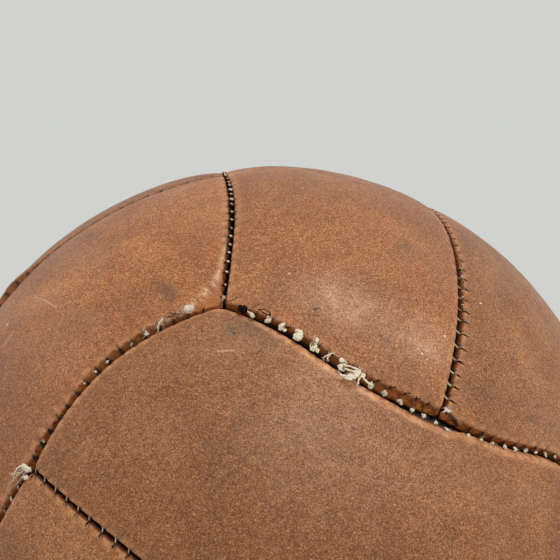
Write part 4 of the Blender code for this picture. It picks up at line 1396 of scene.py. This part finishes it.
def front_details(batch, seam, key, s0, s1):
    if key == E_FRONT_TOP and s0 > 50.0:
        # the big frayed bunch and the strands that tie it to its neighbours
        knot(batch, seam, 125.0, 0.3, 0.1, (1.5, 1.3, 0.9), 901, hairs=8)
        knot(batch, seam, 119.9, -0.5, 0.4, (1.3, 1.5, 0.9), 902, hairs=10)
        knot(batch, seam, 120.9, 1.6, 0.4, (1.5, 1.3, 0.7), 903, hairs=12)
        for n, way in enumerate((
                [(125.4, -0.4, 0.6), (122.9, -1.2, 1.0), (120.0, -1.8, 0.9)],
                [(125.0, 0.5, 0.6), (122.4, 0.1, 0.9), (119.8, -0.9, 1.1)],
                [(119.6, -1.9, 0.8), (119.0, 0.0, 1.3), (120.6, 2.2, 0.7), (122.6, 3.1, 0.4)],
                [(118.6, -1.4, 0.8), (117.0, 0.2, 1.0), (115.0, 0.5, 0.6), (114.0, 0.3, 0.2)],
                [(119.1, -1.0, 0.9), (119.5, 1.5, 1.2), (121.5, 3.0, 0.5)],
                [(118.2, -0.8, 0.7), (118.4, 1.4, 0.9), (118.0, 2.6, 0.5)],
                [(117.9, -2.0, 0.4), (117.4, -1.0, 0.9), (118.4, 0.3, 0.9)],
                [(119.0, -0.4, 1.0), (120.4, 1.4, 1.2), (122.9, 2.6, 0.5), (124.4, 3.0, 0.3)])):
            strand(batch, seam, way, 0.34, 910 + n)
        # a thin split thread, a dark loop and the hairs round the dark knot
        strand(batch, seam, [(131.8, 0.4, -0.8), (131.0, -0.9, -0.2), (130.0, -2.6, -0.2)], 0.2, 930)
        strand(batch, seam, [(130.2, 0.6, -0.9), (130.9, -0.8, -0.2)], 0.18, 931)
        loop = [(158.6, -2.2, -0.2), (157.4, -3.0, 0.3), (155.6, -3.0, 0.3), (154.3, -2.2, 0.0), (155.8, -1.9, -0.1), (157.4, -2.0, -0.1)]
        strand(batch, seam, loop, 0.22, 932, tint=0.97, ends=2)
        strand(batch, seam, [(161.4, -1.6, 0.0), (160.4, -3.0, 0.5), (159.2, -4.2, 0.8)], 0.10, 933, tint=0.8, ends=0)
        strand(batch, seam, [(161.0, -1.8, 0.0), (159.6, -3.0, 0.8), (159.5, -3.8, 1.0)], 0.09, 934, tint=0.85, ends=0)
        for n, s in enumerate((148.0, 142.0, 135.6, 130.2, 122.8, 117.6, 112.6, 107.6, 102.2, 97.6, 93.4)):
            wide = seam.edge(s, -1)
            for j in range(3):
                spin = np.random.default_rng(8000 + 10 * n + j)
                ds, dx = spin.normal(-0.9, 0.5), spin.uniform(0.3, 1.3)
                way_s = np.array([s + 0.3, s + 0.4 * ds, s + ds])
                way_x = -np.array([wide - 0.9, wide + 0.2, wide + dx])
                lift = seam.rest(way_s, way_x) + np.array([0.9, 0.45, 0.35])
                strand(batch, seam, np.stack([way_s, way_x, lift], axis=-1), 0.17, 8500 + 10 * n + j, tint=0.93, ends=0, wander=0.08)
        strand(batch, seam, [(137.8, -2.0, 0.1), (138.0, -3.0, 0.8)], 0.16, 937)
        strand(batch, seam, [(168.8, -1.4, 0.2), (167.6, -2.7, 0.8), (167.4, -3.4, 0.6)], 0.16, 938, tint=0.7)
        strand(batch, seam, [(170.4, -0.6, 0.0), (169.2, -1.2, 0.5), (168.0, -0.5, 0.3)], 0.2, 939, tint=0.5)
    if key == E_FRONT_LEFT and s0 > 50.0:
        rng = np.random.default_rng(77)
        for n in range(18):
            s = rng.uniform(148.0, 162.0)
            strand(batch, seam, [(s, rng.uniform(-0.4, 2.4), -0.9), (s + rng.normal(0, 1.0), rng.uniform(0.0, 2.8), rng.uniform(0.0, 0.7)),
                                 (s + rng.normal(0, 1.8), rng.uniform(-0.6, 3.4), rng.uniform(-0.4, 0.8))],
                   rng.uniform(0.08, 0.17), 700 + n, tint=float(rng.choice([0.35, 0.75, 0.9, 0.97])), ends=0)
        strand(batch, seam, [(152.2, -0.9, 0.0), (153.6, 0.6, 0.7), (155.2, 2.0, 0.4)], 0.2, 731, tint=0.12)
        for n, (s, x, size) in enumerate(((132.4, -0.3, 0.42), (127.2, -0.2, 0.36), (121.8, -0.2, 0.34), (98.0, -0.4, 0.3), (142.4, -0.4, 0.25))):
            knot(batch, seam, s - 0.3, x, -0.75, (size, size, size), 750 + n, tint=0.05, hairs=3, hair=0.9)
        for n, s in enumerate((116.8, 121.6, 127.0, 132.0, 137.4, 142.5, 147.6, 93.0, 97.0, 101.0, 104.5, 108.0)):
            wide = seam.edge(s, 1)
            for j in range(4):
                spin = np.random.default_rng(9000 + 10 * n + j)
                ds, dx = spin.normal(0, 0.7), spin.uniform(0.2, 1.6)
                way_s, way_x = np.array([s, s + 0.5 * ds, s + ds]), np.array([wide - 0.5, wide + 0.4 * dx, wide + dx])
                lift = seam.rest(way_s, way_x) + np.array([0.0, 0.35, 0.25])
                strand(batch, seam, np.stack([way_s, way_x, lift], axis=-1), 0.13, 9500 + 10 * n + j, tint=0.95, ends=0, wander=0.08)
        strand(batch, seam, [(86.6, 2.2, 0.1), (84.4, 3.0, 0.5), (81.6, 3.0, 0.2)], 0.30, 765, tint=0.04)
        for n in range(6):
            way = [(86.0 + rng.normal(0, 0.8), 0.4 + rng.normal(0, 0.6), 0.0),
                   (84.5 + rng.normal(0, 1.2), 1.2 + rng.normal(0, 1.0), 0.9), (82.4 + rng.normal(0, 1.4), 2.0 + rng.normal(0, 1.4), 0.5)]
            strand(batch, seam, way, rng.uniform(0.10, 0.2), 770 + n, tint=float(rng.choice([0.1, 0.25, 0.55])))
    if key == S_TOP:
        strand(batch, seam, [(0.4, 0.6, -0.8), (1.4, -0.3, -0.1), (2.0, -1.3, -0.4)], 0.26, 790, tint=0.15, ends=1)
        for n in range(10):
            rng = np.random.default_rng(800 + n)
            s = 46.0 + 2.6 * n
            strand(batch, seam, [(s, -1.0, -0.9), (s + rng.normal(0, 0.8), -0.2, -0.1), (s + rng.normal(0, 1.2), 0.4, -0.5)], 0.13, 810 + n,
                   tint=float(rng.choice([0.2, 0.55, 0.8])), ends=0)


DETAILS = [front_details]
linen = thread_material("linen_frayed", (1.0, 0.895, 0.70), (0.84, 0.60, 0.34))
beside = {}
for panel in panels:
    for side in (panel.bottom, panel.left, panel.right):
        beside.setdefault((side.key, min(side.t0, side.t1), max(side.t0, side.t1)), []).append(panel.name)
    for lo, hi in ((0.0, 0.5), (0.5, 1.0)):
        beside.setdefault((panel.top.key, lo, hi), []).append(panel.name)

node_names = set(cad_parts)
for index, ((key, t0, t1), names) in enumerate(sorted(beside.items(), key=lambda kv: str(kv[0]))):
    line = line_of(key)
    s0, s1 = float(line.length_at(t0)), float(line.length_at(t1))
    seam = Seam(key, s0, s1)
    batch = Batch()
    here = [s for s in STITCHES[key] if s0 <= s <= s1]
    for k, s in enumerate(here):
        seed = 1000 * index + k
        if key == S_TOP:
            # the lower stitches still show pale thread, the upper ones have gone dark
            stitch_over(batch, seam, s, seed, pale=float(np.interp(s, (8, 60, 80), (1.0, 0.8, 0.25))),
                        reach_right=float(np.interp(s, (62, 84), (2.6, 1.3))), radius=float(np.interp(s, (62, 84), (0.36, 0.24))))
        elif key == S_FRONT:
            stitch_over(batch, seam, s, seed, reach_right=2.0, radius=0.3, lean=-0.25)
        elif key == E_FRONT_TOP and 79.0 < s < 168.0:
            continue
        elif key == E_FRONT_TOP and s > 20.0:
            stitch_crossing(batch, seam, s - 0.3, seed, depth=2.2, radius=0.24, tint=0.85, thread_shade=0.2)
        elif key == E_FRONT_LEFT and s > 88.0:
            stitch_crossing(batch, seam, s, seed, depth=2.6, radius=0.30, tint=0.85, thread_shade=0.2)
        elif key == E_TOP_LEFT:
            top = float(np.interp(s, (88.0, 96.0, 126.0, 136.0), (0.0, 1.0, 1.0, 0.0)))
            stitch_crossing(batch, seam, s, seed, depth=2.2 - 0.3 * top, radius=0.34 + 0.04 * top, tint=0.02, thread_shade=1.0, slant=0.2, sag=0.9,
                            lit_spot=(0.20, 0.42 + 0.2 * top), into=-0.15)
        elif key == S_LEFT:
            stitch_crossing(batch, seam, s, seed, depth=1.9, radius=0.34, tint=0.6, thread_shade=0.4)
        else:
            stitch_crossing(batch, seam, s, seed, depth=2.6, tint=0.2)
    for item in KNOTS.get(key, ()):
        if s0 <= item[0] < s1:
            at_s, across, height, size, tint = item[:5]
            knot(batch, seam, at_s, across, height, size, int(at_s * 10), tint=tint, hairs=item[5] if len(item) > 5 else 8)
    for detail in DETAILS:
        detail(batch, seam, key, s0, s1)
    a, b = names
    candidates = ["thread_" + a + "_to_" + b, "thread_" + b + "_to_" + a]
    node = next(c for c in candidates if c in node_names)
    piece = batch.finish("stitches_" + node[7:])
    piece.data.materials.append(linen)
    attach(piece, "root")
    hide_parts(node)

# ------------------------------------------------------------ hidden inner parts
canvas, hair = canvas_material(), hair_material()
for name, mat in (("lining_left_half", canvas), ("lining_right_half", canvas), ("filling", hair)):
    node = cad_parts[name]
    for slot in node.material_slots:
        slot.material = mat

# ------------------------------------------------------------ floor, light, camera
def plain(name, colour, rough=0.9):
    mat, tree, shader = new_material(name)
    shader.inputs["Base Color"].default_value = (*colour, 1.0)
    shader.inputs["Roughness"].default_value = rough
    shader.inputs["Specular IOR Level"].default_value = 0.2
    return mat


bpy.ops.mesh.primitive_plane_add(size=16.0, location=(0, 0, -0.0002))
floor = bpy.context.object
floor.name = "studio_floor"
floor.data.materials.append(plain("studio_floor_paint", (0.62, 0.63, 0.62)))
floor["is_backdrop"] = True

scene = bpy.context.scene
scene.view_settings.view_transform = "Standard"
scene.view_settings.look = "None"
scene.view_settings.exposure = 0.0
scene.view_settings.gamma = 1.0

world = bpy.data.worlds.new("studio_air")
scene.world = world
world.use_nodes = True
air = Nodes(world.node_tree)
sky = air.node("ShaderNodeTexCoord")
split = air.node("ShaderNodeSeparateXYZ")
air.link(sky.outputs["Generated"], split.inputs["Vector"])
tone = air.remap(split.outputs["Z"], 0.0, 1.0, 0.71, 0.40)
mixed = air.ramp(tone, (0.0, (0.0, 0.0, 0.0)), (1.0, (0.985, 1.0, 0.995)))
air.link(mixed, world.node_tree.nodes["Background"].inputs["Color"])
world.node_tree.nodes["Background"].inputs["Strength"].default_value = 1.0


def softbox(name, toward, power, spread, colour=(1, 1, 1)):
    """A far, broad softbox: its light comes from one side and has no near edge."""
    data = bpy.data.lights.new(name, "SUN")
    data.energy = power
    data.angle = math.radians(spread)
    data.color = colour
    lamp = bpy.data.objects.new(name, data)
    lamp.location = Vector(toward).normalized() * 3.0
    lamp.rotation_mode = "QUATERNION"
    lamp.rotation_quaternion = (-Vector(toward)).to_track_quat("-Z", "Y")
    scene.collection.objects.link(lamp)
    return lamp


softbox("softbox_overhead", (0.34, -0.06, 0.94), 1.30, 22.0, (1.0, 0.985, 0.96))
softbox("softbox_right", (0.85, -0.45, 0.35), 0.38, 60.0, (1.0, 0.99, 0.97))
softbox("softbox_left", (-0.84, 0.02, 0.62), 0.48, 50.0, (1.0, 0.99, 0.97))

TILT = math.radians(15.4)
EYE = np.array([0.0215, 0.6636, 3.8727]) * RADIUS * MM      # right, up and back of the ball's centre
camera_data = bpy.data.cameras.new("camera")
camera = bpy.data.objects.new("camera", camera_data)
scene.collection.objects.link(camera)
back = np.array([0.0, -math.cos(TILT), math.sin(TILT)])
up = np.array([0.0, math.sin(TILT), math.cos(TILT)])
place = CENTRE * MM + np.array([1.0, 0.0, 0.0]) * EYE[0] + up * EYE[1] + back * EYE[2]
camera.location = place
camera.rotation_mode = "QUATERNION"
camera.rotation_quaternion = Matrix((
    (1.0, 0.0, 0.0), (0.0, math.sin(TILT), -math.cos(TILT)), (0.0, math.cos(TILT), math.sin(TILT)))).to_quaternion()
camera_data.sensor_fit = "HORIZONTAL"
camera_data.sensor_width = 36.0
camera_data.lens = 1300.0 / 560.0 * 36.0
camera_data.clip_start, camera_data.clip_end = 0.02, 60.0
scene.camera = camera

low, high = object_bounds()
{"cad": CAD_BOX, "visual": [list(map(float, low)), list(map(float, high))]}
